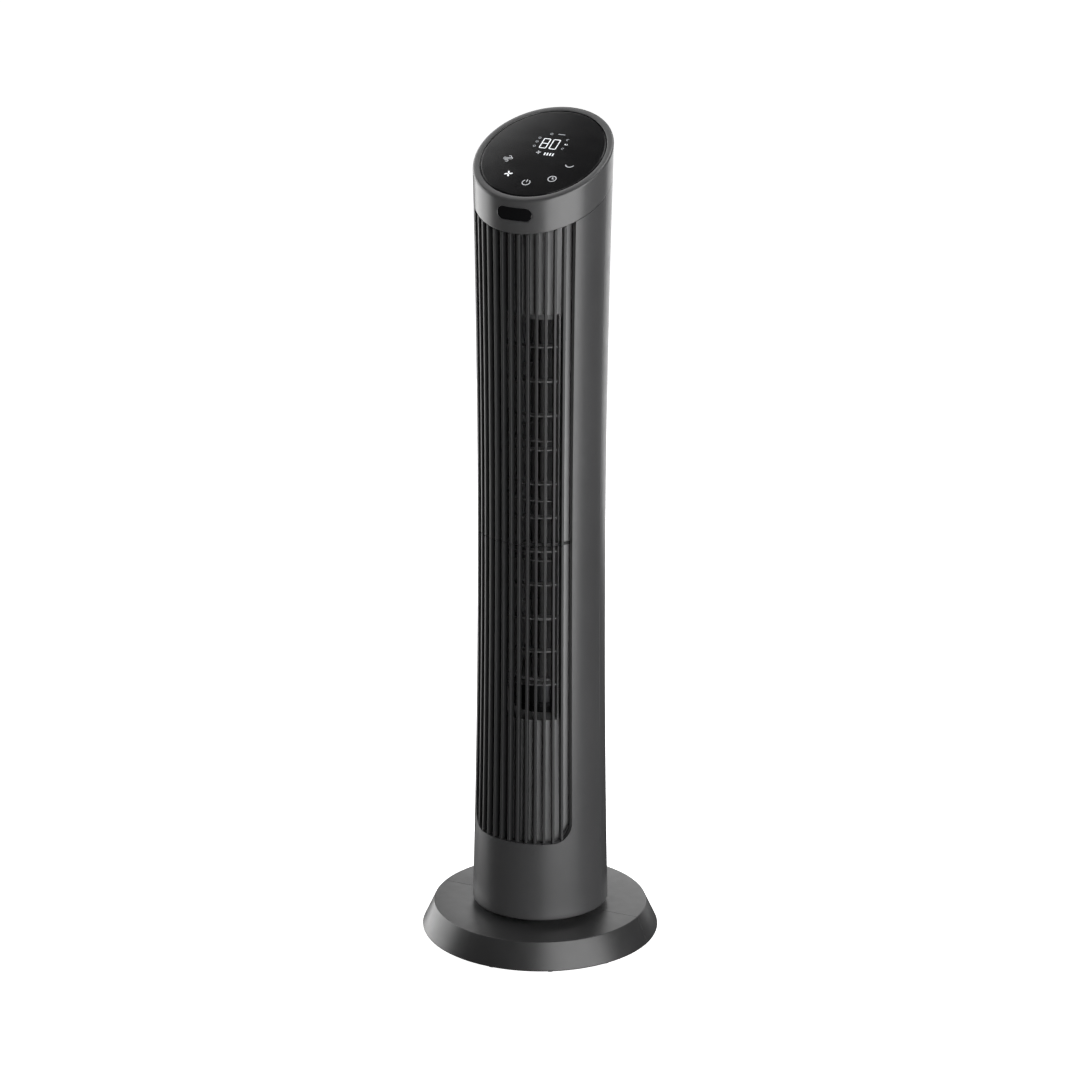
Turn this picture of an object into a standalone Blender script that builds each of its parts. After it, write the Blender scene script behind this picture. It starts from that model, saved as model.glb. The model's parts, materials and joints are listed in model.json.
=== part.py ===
"""Tower fan: a slim waisted column that swings on a round base and blows from a tall ribbed front.

Metres, +Z up. The front faces -Y, and +X is on the right of someone who looks at the front.
The origin is on the floor, under the middle of the base. Angles are counted from the front
towards +X. Four bodies move: the base stands still, the column swings on it, the impeller
spins inside the column, and the pinion rolls round a toothed sector on the base.
"""

import math

import bmesh
import bpy
from mathutils import Matrix, Vector

# The column's skin: one long arc from the floor to the slanted top.
HEIGHT = 1.000
WAIST_RADIUS = 0.0753
WAIST_HEIGHT = 0.510
ARC_RADIUS = 18.3
COLUMN_BOTTOM = 0.0403
WALL = 0.0025
GAP = 0.0003

# The head: a ring between two parallel planes that slope down to the front.
SLANT = math.radians(23.9)
HEAD_DEPTH = 0.0395
RIM_WIDTH = 0.0078
RIM_FILLET = 0.0016
PANEL_THICKNESS = 0.0024
PANEL_RECESS = 0.0002
PANEL_SEAT = 0.0030
WINDOW_WIDTH = 0.0435
WINDOW_HEIGHT = 0.0150
WINDOW_LEVEL = 0.9121
WINDOW_DEPTH = 0.0022
WINDOW_RECESS = 0.0003
SEAT_WIDTH = 0.0030
SEAT_THICKNESS = 0.0022

# The outlet in the front shell, and the ribs that fill it.
OPENING_ANGLE = math.radians(53.3)
OPENING_BOTTOM = 0.1380
OPENING_CORNER = 0.0240
RETURN_DEPTH = 0.0065
RETURN_WIDTH = 0.0018
RIB_COUNT = 12
RIB_PITCH = math.radians(8.0)
RIB_WIDTH = 0.0033
RIB_DEPTH = 0.0090
RIB_FOOT_GAP = 0.0007
CORNER_SHARES = (0.0, 0.06, 0.2, 0.4, 0.65)
TIE_INSET = 0.0074
TIE_HEIGHT = 0.0016
TIE_ANGLE = math.radians(56.0)
GRILLE_SPLIT = 0.5120

# The intake in the rear shell.
INTAKE_ANGLE = math.radians(50.0)
INTAKE_BOTTOM = 0.1500
INTAKE_TOP = 0.8800
INTAKE_CORNER = 0.0200
INTAKE_RIBS = 10
INTAKE_BORDER = 0.0040
INTAKE_CLEARANCE = 0.0010
INTAKE_TIES = (0.3300, 0.5120, 0.7000)
INTAKE_TIE_HEIGHT = 0.0030
INTAKE_SIDE_GAP = 0.0006
INTAKE_DEPTH = 0.0060
INTAKE_TIE_INSET = 0.0030

# The inner wall behind the ribs, with its window and the curved slats across it.
DUCT_RADIUS = 0.0650
DUCT_WALL = 0.0025
DUCT_BOTTOM = 0.1310
DUCT_RISE = 0.0030
DUCT_ANGLE = math.radians(62.0)
FIN_ANGLE = math.radians(60.0)
FIN_RADIUS = 0.0722
OUTLET_ANGLE = math.radians(42.0)
SLAT_COUNT = 11
SLAT_PITCH = 0.0416
SLAT_THICKNESS = 0.0018
TOP_SLAT = 0.7500
SLAT_INNER = 0.0500
SLAT_OUTER = 0.0605
SILL = 0.0025

# The cross-flow impeller, its motor below and its bearing above.
IMPELLER_Y = 0.0060
IMPELLER_BOTTOM = 0.3300
IMPELLER_TOP = 0.7880
IMPELLER_RADIUS = 0.0420
BLADE_INNER = 0.0310
BLADE_COUNT = 16
BLADE_THICKNESS = 0.0018
BLADE_LEAN = math.radians(14.0)
RING_COUNT = 2
DISC_THICKNESS = 0.0030
RING_THICKNESS = 0.0020
HUB_RADIUS = 0.0100
HUB_LENGTH = 0.0160
TOP_RIM = 0.0120
SHAFT_RADIUS = 0.0040
MOTOR_RADIUS = 0.0360
MOTOR_HEIGHT = 0.0385
MOTOR_BORE_DEPTH = 0.0300
PLATE_THICKNESS = 0.0030
PLATE_FRONT_RADIUS = 0.0622
PLATE_REAR_RADIUS = 0.0700
PLATE_FRONT_ANGLE = math.radians(70.0)
MOTOR_PLATE = 0.2840
BEARING_PLATE = 0.7950
MOTOR_PLATE_BORE = 0.0120
BUSH_WALL = 0.0030
CUSHION_WALL = 0.0040
BUSH_OVERHANG = 0.0030
SCROLL_THICKNESS = 0.0020

# The circuit boards.
BOARD_THICKNESS = 0.0016
DISPLAY_DEPTH = 0.0150
POWER_BOARD_PLACE = (0.0, 0.0500, 0.1400)

# The base and the feet under it.
FOOT_COUNT = 12
FOOT_RADIUS = 0.0048
FOOT_CIRCLE = 0.1345
FOOT_HEIGHT = 0.0015
BASE_BOTTOM = 0.0018
BASE_TOP = 0.0338
BASE_BOTTOM_RADIUS = 0.1426
BASE_TOP_RADIUS = 0.1278
BASE_WALL = 0.0030
BASE_FLANGE = 0.0150
BASE_FILLET = 0.0012
COLLAR_THICKNESS = 0.0062
COLLAR_REACH = 0.0040
GLAND_LEVEL = 0.0135
GLAND_RADIUS = 0.0052
GLAND_BORE = 0.0034
GLAND_INNER = -0.0070
GLAND_OUTER = 0.0022
GLAND_CHAMFER = 0.0008

# The swivel: a fixed neck, and a turntable whose stem runs in it.
NECK_RADIUS = 0.0580
NECK_TOP = 0.0415
NECK_WALL = 0.0030
NECK_FLOOR = 0.0345
NECK_FLANGE_RADIUS = 0.0740
NECK_FLANGE_TOP = BASE_TOP - COLLAR_THICKNESS - GAP
NECK_FLANGE_BOTTOM = NECK_FLANGE_TOP - NECK_WALL
SLEEVE_WALL = 0.0040
SLEEVE_BOTTOM = 0.0180
SLEEVE_TOP = 0.0405
WASHER_OUTER = 0.0575
WASHER_INNER = 0.0520
STEM_RADIUS = 0.0160
STEM_BORE = 0.0120
STEM_BOTTOM = 0.0110
RETAINER_BOTTOM = 0.0145
RETAINER_TOP = 0.0175
RETAINER_WIDTH = 0.0100
TURNTABLE_BOTTOM = 0.0430
TURNTABLE_TOP = 0.0470
TURNTABLE_RADIUS = 0.0782
LEDGE_BOTTOM = 0.0474
LEDGE_TOP = 0.0550
LEDGE_INSET = 0.0115
FRONT_SKIRT = 0.0950
REAR_SKIRT = 0.1000

# The swing drive.
GEAR_MODULE = 0.0015
SECTOR_TEETH = 40
SECTOR_SPAN = 14
PINION_TEETH = 12
PRESSURE_ANGLE = math.radians(20.0)
ADDENDUM = 0.80
DEDENDUM = 1.10
TOOTH_THINNING = 0.00015
GEAR_BOTTOM = 0.0372
GEAR_TOP = 0.0407
PINION_DISTANCE = GEAR_MODULE * (SECTOR_TEETH + PINION_TEETH) / 2
PINION_SHAFT_RADIUS = 0.0020
PINION_SHAFT_TOP = 0.0555
PINION_HOLE_RADIUS = 0.0026
SECTOR_BOTTOM = 0.0350
SECTOR_INNER_RADIUS = 0.0225
SWING_MOTOR_RADIUS = 0.0140
SWING_MOTOR_HEIGHT = 0.0190
SWING_MOTOR_BORE_DEPTH = 0.0100

SCREW_ANGLES = tuple(math.radians(angle) for angle in (40.0, 140.0, 220.0, 320.0))
SCREW_RADIUS = 0.0015
SCREW_HEAD_RADIUS = 0.0030
SCREW_HEAD_HEIGHT = 0.0018
SCREW_CIRCLE_NECK = 0.0675
SCREW_CIRCLE_TURNTABLE = 0.0738
NECK_SCREW_TIP = 0.0310
TURNTABLE_SCREW_TIP = 0.0520
SCREW_HOLE_MARGIN = 0.0005

ROUND_STEPS = 48
PLATE_STEPS = 32
SMALL_STEPS = 18
SCREW_STEPS = 8
FOOT_STEPS = 12
SMOOTH_ANGLE = math.radians(35.0)
FULL_TURN = 2 * math.pi

CHARCOAL = (0.060, 0.062, 0.066)
DARK_GREY = (0.030, 0.031, 0.033)
BLACK = (0.010, 0.010, 0.011)
STEEL = (0.560, 0.560, 0.570)
BRONZE = (0.430, 0.300, 0.150)
BOARD_GREEN = (0.020, 0.140, 0.060)
WHITE_NYLON = (0.750, 0.740, 0.700)


# ---------------------------------------------------------------- scene and materials


def clear_scene():
    for obj in list(bpy.data.objects):
        bpy.data.objects.remove(obj, do_unlink=True)


def make_material(name, colour, roughness, metallic=0.0):
    material = bpy.data.materials.new(name)
    material.use_nodes = True
    shader = material.node_tree.nodes["Principled BSDF"]
    shader.inputs["Base Color"].default_value = (*colour, 1.0)
    shader.inputs["Roughness"].default_value = roughness
    shader.inputs["Metallic"].default_value = metallic
    return material


def make_pivot(name, location, parent=None):
    """An empty on a joint's axis. Everything that moves with the joint is its child."""
    pivot = bpy.data.objects.new(name, None)
    pivot.location = location
    pivot.parent = parent
    bpy.context.scene.collection.objects.link(pivot)
    return pivot


def add_object(name, shape, look, pivot):
    """Turn a bmesh into a named object. The look is (colour, roughness, metallic)."""
    bmesh.ops.remove_doubles(shape, verts=shape.verts, dist=1e-6)
    loose = [edge for edge in shape.edges if edge.is_wire]
    bmesh.ops.delete(shape, geom=loose, context="EDGES")
    bmesh.ops.recalc_face_normals(shape, faces=shape.faces)
    mesh = bpy.data.meshes.new(name)
    shape.to_mesh(mesh)
    shape.free()
    mesh.materials.append(make_material(name, *look))
    mesh.shade_smooth()
    mesh.set_sharp_from_angle(angle=SMOOTH_ANGLE)
    obj = bpy.data.objects.new(name, mesh)
    obj.parent = pivot
    bpy.context.scene.collection.objects.link(obj)
    return obj


def boolean(target, other, operation):
    """Cut another object from the target, or join it on. The other is only a helper."""
    other.hide_render = True
    other.display_type = "WIRE"
    modifier = target.modifiers.new(operation.lower(), "BOOLEAN")
    modifier.operation = operation
    modifier.solver = "EXACT"
    modifier.object = other


# ---------------------------------------------------------------- shape tools


def polar(angle, radius, height):
    return Vector((radius * math.sin(angle), -radius * math.cos(angle), height))


def spread(start, end, steps):
    """Evenly spaced values from start to end, both included."""
    return [start + (end - start) * step / steps for step in range(steps + 1)]


CELL_FACES = (
    ((1, 0, 0), ((1, 0, 0), (1, 1, 0), (1, 1, 1), (1, 0, 1))),
    ((-1, 0, 0), ((0, 0, 0), (0, 0, 1), (0, 1, 1), (0, 1, 0))),
    ((0, 1, 0), ((0, 1, 0), (0, 1, 1), (1, 1, 1), (1, 1, 0))),
    ((0, -1, 0), ((0, 0, 0), (1, 0, 0), (1, 0, 1), (0, 0, 1))),
    ((0, 0, 1), ((0, 0, 1), (1, 0, 1), (1, 1, 1), (0, 1, 1))),
    ((0, 0, -1), ((0, 0, 0), (0, 1, 0), (1, 1, 0), (1, 0, 0))),
)


def lattice(counts, is_filled, corner, wraps=False):
    """One body made of the filled cells of a bent lattice.

    counts is the number of cells along the three lattice directions, is_filled(i, j, k) says
    whether a cell holds material, and corner(i, j, k) places a lattice point in space. With
    wraps, the last cell of the first direction meets the first one.
    """
    shape = bmesh.new()
    placed = {}

    def vertex(i, j, k):
        key = (i % counts[0] if wraps else i, j, k)
        if key not in placed:
            placed[key] = shape.verts.new(corner(*key))
        return placed[key]

    def filled(i, j, k):
        if wraps:
            i %= counts[0]
        inside = 0 <= i < counts[0] and 0 <= j < counts[1] and 0 <= k < counts[2]
        return inside and is_filled(i, j, k)

    for i in range(counts[0]):
        for j in range(counts[1]):
            for k in range(counts[2]):
                if not filled(i, j, k):
                    continue
                for (di, dj, dk), corners in CELL_FACES:
                    if not filled(i + di, j + dj, k + dk):
                        shape.faces.new([vertex(i + a, j + b, k + c) for a, b, c in corners])
    return shape


def ring_loft(outline_at, steps, start=0.0, sweep=FULL_TURN):
    """Carry a closed outline round the axis. outline_at(angle) gives its points in space."""
    shape = bmesh.new()
    closed = sweep >= FULL_TURN
    angles = [start + sweep * step / steps for step in range(steps if closed else steps + 1)]
    rings = [[shape.verts.new(point) for point in outline_at(angle)] for angle in angles]
    pairs = zip(rings, rings[1:] + rings[:1]) if closed else zip(rings, rings[1:])
    for ring, following in pairs:
        size = len(ring)
        for index in range(size):
            after = (index + 1) % size
            shape.faces.new((ring[index], following[index], following[after], ring[after]))
    if not closed:
        shape.faces.new(rings[0])
        shape.faces.new(rings[-1])
    return shape


def turned(profile, steps, start=0.0, sweep=FULL_TURN, centre=(0.0, 0.0)):
    """A solid of revolution. The profile is a closed outline of (radius, height) points."""
    offset = Vector((*centre, 0.0))
    return ring_loft(
        lambda angle: [polar(angle, radius, height) + offset for radius, height in profile],
        steps,
        start,
        sweep,
    )


def solid_cylinder(radius, bottom, top, steps, centre=(0.0, 0.0)):
    points = [polar(FULL_TURN * step / steps, radius, 0.0) for step in range(steps)]
    return prism([(point.x + centre[0], point.y + centre[1]) for point in points], bottom, top)


def prism(outline, bottom, top):
    """A flat outline of (x, y) points, extruded upwards."""
    shape = bmesh.new()
    floor = shape.faces.new([shape.verts.new((x, y, bottom)) for x, y in outline])
    raised = bmesh.ops.extrude_face_region(shape, geom=[floor])["geom"]
    lifted = [item for item in raised if isinstance(item, bmesh.types.BMVert)]
    bmesh.ops.translate(shape, verts=lifted, vec=(0.0, 0.0, top - bottom))
    return shape


def merged(shapes):
    """Several separate bmeshes as one, for use as a cutter."""
    whole = bmesh.new()
    for shape in shapes:
        mesh = bpy.data.meshes.new("piece")
        shape.to_mesh(mesh)
        shape.free()
        whole.from_mesh(mesh)
        bpy.data.meshes.remove(mesh)
    return whole


# ---------------------------------------------------------------- the column's skin


def skin_radius(height):
    """The column's outer radius: a shallow arc, narrowest at the waist."""
    return WAIST_RADIUS + (height - WAIST_HEIGHT) ** 2 / (2 * ARC_RADIUS)


TOP_LEVEL = HEIGHT - skin_radius(HEIGHT) * math.tan(SLANT)
SEAM_LEVEL = TOP_LEVEL - HEAD_DEPTH


def slanted_height(level, angle, inset=0.0):
    """Where a slanted plane, at this level on the axis, meets the skin or a surface inside it."""
    height = level
    for _ in range(6):
        height = level - (skin_radius(height) - inset) * math.cos(angle) * math.tan(SLANT)
    return height


def plane_point(angle, level, inset):
    """A point on a slanted plane, at an inset from the skin."""
    height = slanted_height(level, angle, inset)
    return polar(angle, skin_radius(height) - inset, height)


def rounded_rise(angle, half_angle, corner):
    """How far an opening's edge has risen at this angle, in a quarter circle at its side."""
    run = max(0.0, (half_angle - abs(angle)) * WAIST_RADIUS)
    reach = max(0.0, corner - run)
    return corner - math.sqrt(corner**2 - reach**2)


def opening_row(angle, inset):
    """The row along the lower edge of the outlet opening."""
    return OPENING_BOTTOM + rounded_rise(angle, OPENING_ANGLE, OPENING_CORNER)


def skin_lattice(angles, rows, insets, is_filled, facing=0.0):
    """A lattice that follows the skin. Each row gives a height for an angle and an inset."""

    def corner(i, j, k):
        height = rows[j](angles[i], insets[k])
        return polar(angles[i] + facing, skin_radius(height) - insets[k], height)

    counts = (len(angles) - 1, len(rows) - 1, len(insets) - 1)
    return lattice(counts, is_filled, corner)


def level_row(height):
    return lambda angle, inset: height


def shifted(row, amount):
    """The same row, higher by an amount."""
    return lambda angle, inset: row(angle, inset) + amount


def rows_between(lower, upper, steps):
    """The rows strictly between two others, evenly spaced at each angle."""

    def row(share):
        return lambda angle, inset: (
            lower(angle, inset) * (1 - share) + upper(angle, inset) * share
        )

    return [row(step / steps) for step in range(1, steps)]


def seam_row(clearance, facing=0.0):
    """The row along the head's lower seam, a little below it."""
    return lambda angle, inset: slanted_height(SEAM_LEVEL - clearance, angle + facing, inset)


def shell_angles(half_angle, corner, return_width=0.0):
    """Angles across half the column, with a finer step round an opening's corners."""
    side = math.pi / 2 - GAP / (2 * WAIST_RADIUS)
    turn = half_angle - corner / WAIST_RADIUS
    corner_steps = [half_angle - (half_angle - turn) * share for share in CORNER_SHARES]
    outside = spread(side, half_angle + return_width / WAIST_RADIUS, 5)
    right = (outside if return_width else outside[:-1]) + corner_steps
    left = [-angle for angle in right]
    return left + spread(-turn, turn, 10) + right[::-1]


# ---------------------------------------------------------------- the base


def flank_radius(height):
    """The base's outer radius at a height on its sloping flank."""
    share = (height - BASE_BOTTOM) / (BASE_TOP - BASE_BOTTOM)
    return BASE_BOTTOM_RADIUS + (BASE_TOP_RADIUS - BASE_BOTTOM_RADIUS) * share


def base_profile():
    """Section of the base: top plate, sloping flank and the flange that the feet sit on."""
    ceiling = BASE_TOP - BASE_WALL
    floor = BASE_BOTTOM + BASE_WALL
    collar_inner = NECK_RADIUS + GAP
    collar_outer = NECK_FLANGE_RADIUS + COLLAR_REACH
    return [
        (collar_inner, BASE_TOP),
        (BASE_TOP_RADIUS - BASE_FILLET, BASE_TOP),
        (BASE_TOP_RADIUS - BASE_FILLET * 0.2, BASE_TOP - BASE_FILLET * 0.3),
        (flank_radius(BASE_TOP - BASE_FILLET), BASE_TOP - BASE_FILLET),
        (flank_radius(BASE_BOTTOM + BASE_FILLET), BASE_BOTTOM + BASE_FILLET),
        (BASE_BOTTOM_RADIUS - BASE_FILLET, BASE_BOTTOM),
        (BASE_BOTTOM_RADIUS - BASE_FLANGE, BASE_BOTTOM),
        (BASE_BOTTOM_RADIUS - BASE_FLANGE, floor),
        (flank_radius(floor) - BASE_WALL, floor),
        (flank_radius(ceiling) - BASE_WALL, ceiling),
        (collar_outer, ceiling),
        (collar_outer, BASE_TOP - COLLAR_THICKNESS),
        (collar_inner, BASE_TOP - COLLAR_THICKNESS),
    ]


def screw_holes(name, circle, bottom, top):
    """A cutter for the four holes of one ring of screws."""
    radius = SCREW_RADIUS + GAP
    shapes = []
    for angle in SCREW_ANGLES:
        place = polar(angle, circle, 0.0)
        shapes.append(solid_cylinder(radius, bottom, top, SCREW_STEPS, (place.x, place.y)))
    return add_object(name, merged(shapes), (BLACK, 0.5), None)


def make_base():
    """Everything that stands still: the base, its feet and gland, the neck and the sector."""
    holes = screw_holes(
        "neck_screw_holes", SCREW_CIRCLE_NECK, SLEEVE_BOTTOM, NECK_SCREW_TIP + SCREW_HOLE_MARGIN
    )
    make_base_halves(holes)
    make_feet()
    make_gland()
    make_neck(holes)
    make_slip_washer()
    make_screws("neck_screw", SCREW_CIRCLE_NECK, NECK_FLANGE_BOTTOM - GAP, NECK_SCREW_TIP, None)
    make_sector()


def make_base_halves(holes):
    """The front and rear halves, which meet on a seam at both sides."""
    halves = (("base_front_half", -math.pi / 2, -1), ("base_rear_half", math.pi / 2, 1))
    for name, start, side in halves:
        shape = turned(base_profile(), ROUND_STEPS // 2, start, math.pi)
        half = add_object(name, shape, (CHARCOAL, 0.42), None)
        half.location.y = side * GAP / 2
        boolean(half, holes, "DIFFERENCE")
        if side > 0:
            boolean(half, make_gland_hole(), "DIFFERENCE")


def make_feet():
    for index in range(FOOT_COUNT):
        shape = solid_cylinder(FOOT_RADIUS, 0.0, FOOT_HEIGHT, FOOT_STEPS)
        foot = add_object(f"foot_{index + 1:02d}", shape, (BLACK, 0.85), None)
        foot.location = polar(FULL_TURN * index / FOOT_COUNT, FOOT_CIRCLE, 0.0)


def gland_centre():
    return Vector((0.0, flank_radius(GLAND_LEVEL), GLAND_LEVEL))


def make_gland_hole():
    """A round hole through the rear flank."""
    shape = solid_cylinder(GLAND_RADIUS + GAP, -0.010, 0.010, SMALL_STEPS)
    bmesh.ops.rotate(shape, verts=shape.verts, matrix=Matrix.Rotation(-math.pi / 2, 3, "X"))
    hole = add_object("gland_hole", shape, (BLACK, 0.5), None)
    hole.location = gland_centre()
    return hole


def make_gland():
    """The bushing that the mains lead passes through, low in the rear flank."""
    profile = [
        (GLAND_BORE, GLAND_INNER),
        (GLAND_RADIUS, GLAND_INNER),
        (GLAND_RADIUS, GLAND_OUTER - GLAND_CHAMFER),
        (GLAND_RADIUS - GLAND_CHAMFER, GLAND_OUTER),
        (GLAND_BORE, GLAND_OUTER),
    ]
    shape = turned(profile, SMALL_STEPS)
    bmesh.ops.rotate(shape, verts=shape.verts, matrix=Matrix.Rotation(-math.pi / 2, 3, "X"))
    gland = add_object("cord_gland", shape, (BLACK, 0.80), None)
    gland.location = gland_centre()


# ---------------------------------------------------------------- the swivel


def make_neck(holes):
    """The fixed cup that the column turns on, clamped under the collars of the base."""
    bearing = STEM_RADIUS + GAP
    sleeve = bearing + SLEEVE_WALL
    inner = NECK_RADIUS - NECK_WALL
    profile = [
        (bearing, SLEEVE_TOP),
        (sleeve, SLEEVE_TOP),
        (sleeve, NECK_FLOOR),
        (inner, NECK_FLOOR),
        (inner, NECK_TOP),
        (NECK_RADIUS, NECK_TOP),
        (NECK_RADIUS, NECK_FLANGE_TOP),
        (NECK_FLANGE_RADIUS, NECK_FLANGE_TOP),
        (NECK_FLANGE_RADIUS, NECK_FLANGE_BOTTOM),
        (inner, NECK_FLANGE_BOTTOM),
        (inner, NECK_FLOOR - NECK_WALL),
        (sleeve, NECK_FLOOR - NECK_WALL),
        (sleeve, SLEEVE_BOTTOM),
        (bearing, SLEEVE_BOTTOM),
    ]
    neck = add_object("neck", turned(profile, PLATE_STEPS), (DARK_GREY, 0.55), None)
    boolean(neck, holes, "DIFFERENCE")


def ring_profile(inner, outer, bottom, top):
    """Section of a flat ring."""
    return [(inner, bottom), (outer, bottom), (outer, top), (inner, top)]


def make_slip_washer():
    """The nylon washer that the turntable slides on."""
    profile = ring_profile(WASHER_INNER, WASHER_OUTER, NECK_TOP + GAP, TURNTABLE_BOTTOM - GAP)
    add_object("slip_washer", turned(profile, SMALL_STEPS), (WHITE_NYLON, 0.4), None)


def make_turntable(column, holes):
    """The floor of the column, with the hollow stem that runs in the neck."""
    profile = [
        (STEM_BORE, TURNTABLE_TOP),
        (TURNTABLE_RADIUS, TURNTABLE_TOP),
        (TURNTABLE_RADIUS, TURNTABLE_BOTTOM),
        (STEM_RADIUS, TURNTABLE_BOTTOM),
        (STEM_RADIUS, STEM_BOTTOM),
        (STEM_BORE, STEM_BOTTOM),
    ]
    turntable = add_object("turntable", turned(profile, PLATE_STEPS), (DARK_GREY, 0.55), column)
    boolean(turntable, make_pinion_hole(), "DIFFERENCE")
    boolean(turntable, holes, "DIFFERENCE")


def make_pinion_hole():
    """A cutter for the hole that the pinion's shaft comes up through."""
    shape = solid_cylinder(PINION_HOLE_RADIUS, GEAR_TOP, LEDGE_TOP, SMALL_STEPS)
    hole = add_object("pinion_hole", shape, (BLACK, 0.5), None)
    hole.location.y = PINION_DISTANCE
    hole.rotation_euler.z = math.pi / SMALL_STEPS
    return hole


def make_retaining_ring(column):
    """The ring on the stem, under the neck, that keeps the column from lifting off."""
    inner = STEM_RADIUS + GAP
    outer = STEM_RADIUS + RETAINER_WIDTH
    profile = ring_profile(inner, outer, RETAINER_BOTTOM, RETAINER_TOP)
    add_object("retaining_ring", turned(profile, SMALL_STEPS), (STEEL, 0.35, 1.0), column)


def make_screws(prefix, circle, head_top, tip, pivot):
    """Four screws that point upwards."""
    profile = [
        (0.0, head_top - SCREW_HEAD_HEIGHT),
        (SCREW_HEAD_RADIUS, head_top - SCREW_HEAD_HEIGHT),
        (SCREW_HEAD_RADIUS, head_top),
        (SCREW_RADIUS, head_top),
        (SCREW_RADIUS, tip),
        (0.0, tip),
    ]
    for index, angle in enumerate(SCREW_ANGLES):
        screw = add_object(
            f"{prefix}_{index + 1}", turned(profile, SCREW_STEPS), (STEEL, 0.35, 1.0), pivot
        )
        screw.location = polar(angle, circle, 0.0)


# ---------------------------------------------------------------- the swing drive


def involute(base_radius, radius):
    pressure = math.acos(min(1.0, base_radius / radius))
    return math.tan(pressure) - pressure


def half_tooth(teeth, radius):
    """Half the angle that one tooth fills at a radius."""
    pitch_radius = GEAR_MODULE * teeth / 2
    base_radius = pitch_radius * math.cos(PRESSURE_ANGLE)
    at_pitch = math.pi / (2 * teeth) - TOOTH_THINNING / (2 * pitch_radius)
    grown = involute(base_radius, pitch_radius) - involute(base_radius, max(radius, base_radius))
    return at_pitch + grown


def gear_radii(teeth):
    """Root, start of the flank, pitch and tip."""
    pitch_radius = GEAR_MODULE * teeth / 2
    root = pitch_radius - DEDENDUM * GEAR_MODULE
    base = max(root * 1.0005, pitch_radius * math.cos(PRESSURE_ANGLE))
    return (root, base, pitch_radius, pitch_radius + ADDENDUM * GEAR_MODULE)


def tooth_points(teeth, middle):
    """One tooth's outline, root to tip and back, round the angle of its middle."""
    rising = [(middle - half_tooth(teeth, radius), radius) for radius in gear_radii(teeth)]
    falling = [(2 * middle - angle, radius) for angle, radius in reversed(rising)]
    return [(radius * math.cos(angle), radius * math.sin(angle)) for angle, radius in rising + falling]


def make_sector():
    """The toothed sector, with a tooth space where the pinion stands at rest."""
    pitch = FULL_TURN / SECTOR_TEETH
    first = math.pi / 2 - pitch * (SECTOR_SPAN - 1) / 2
    outline = []
    for index in range(SECTOR_SPAN):
        outline += tooth_points(SECTOR_TEETH, first + pitch * index)
    end = first + pitch * (SECTOR_SPAN - 0.5)
    for angle in spread(end, first - pitch / 2, 10):
        outline.append((SECTOR_INNER_RADIUS * math.cos(angle), SECTOR_INNER_RADIUS * math.sin(angle)))
    shape = prism(outline, SECTOR_BOTTOM, GEAR_TOP)
    add_object("sector_gear", shape, (WHITE_NYLON, 0.4), None)


def make_pinion(pivot):
    """The pinion, with a tooth that points at the column's axis at rest."""
    pitch = FULL_TURN / PINION_TEETH
    outline = []
    for index in range(PINION_TEETH):
        outline += tooth_points(PINION_TEETH, -math.pi / 2 + pitch * index)
    teeth = prism(outline, GEAR_BOTTOM, GEAR_TOP)
    pinion = add_object("pinion", teeth, (WHITE_NYLON, 0.4), pivot)
    inside_teeth = (GEAR_BOTTOM + GEAR_TOP) / 2
    rod = solid_cylinder(PINION_SHAFT_RADIUS, inside_teeth, PINION_SHAFT_TOP, SMALL_STEPS)
    shaft = add_object("pinion_shaft_stock", rod, (WHITE_NYLON, 0.4), pivot)
    boolean(pinion, shaft, "UNION")


def make_swing_motor(column):
    """A flat geared stepper motor that stands on the turntable over the pinion."""
    bottom = TURNTABLE_TOP + GAP
    top = bottom + SWING_MOTOR_HEIGHT
    bore = PINION_SHAFT_RADIUS + GAP
    bore_end = bottom + SWING_MOTOR_BORE_DEPTH
    profile = [
        (0.0, top),
        (SWING_MOTOR_RADIUS, top),
        (SWING_MOTOR_RADIUS, bottom),
        (bore, bottom),
        (bore, bore_end),
        (0.0, bore_end),
    ]
    motor = add_object("swing_motor", turned(profile, SMALL_STEPS), (STEEL, 0.4, 1.0), column)
    motor.location.y = PINION_DISTANCE


# ---------------------------------------------------------------- shells and grilles


def make_front_shell(column, holes):
    """The front half, whose opening has an edge that is turned inwards all round."""
    angles = shell_angles(OPENING_ANGLE, OPENING_CORNER, RETURN_WIDTH)
    return_angle = OPENING_ANGLE + RETURN_WIDTH / WAIST_RADIUS
    top = seam_row(GAP)
    lip = shifted(opening_row, -RETURN_WIDTH)
    rows = [level_row(height) for height in (COLUMN_BOTTOM, LEDGE_BOTTOM, LEDGE_TOP, FRONT_SKIRT)]
    lip_row = len(rows)
    rows += [lip, opening_row, *rows_between(opening_row, top, 5), top]

    def is_filled(i, j, k):
        middle = abs(angles[i] + angles[i + 1]) / 2
        if k == 0:
            return j == 1
        if k == 1:
            at_side = OPENING_ANGLE < middle < return_angle
            is_return = (j >= lip_row and at_side) or (j == lip_row and middle < OPENING_ANGLE)
            return j == 1 or is_return
        return j <= lip_row or middle > OPENING_ANGLE

    insets = (LEDGE_INSET, RETURN_DEPTH, WALL, 0.0)
    shape = skin_lattice(angles, rows, insets, is_filled)
    shell = add_object("front_shell", shape, (CHARCOAL, 0.42), column)
    boolean(shell, holes, "DIFFERENCE")


def intake_edges(half_angle):
    """The rows along the lower and upper edges of the intake, or of the grille in it."""

    def bottom(angle, inset):
        return INTAKE_BOTTOM + rounded_rise(angle, half_angle, INTAKE_CORNER)

    def top(angle, inset):
        return INTAKE_TOP - rounded_rise(angle, half_angle, INTAKE_CORNER)

    return bottom, top


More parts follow.
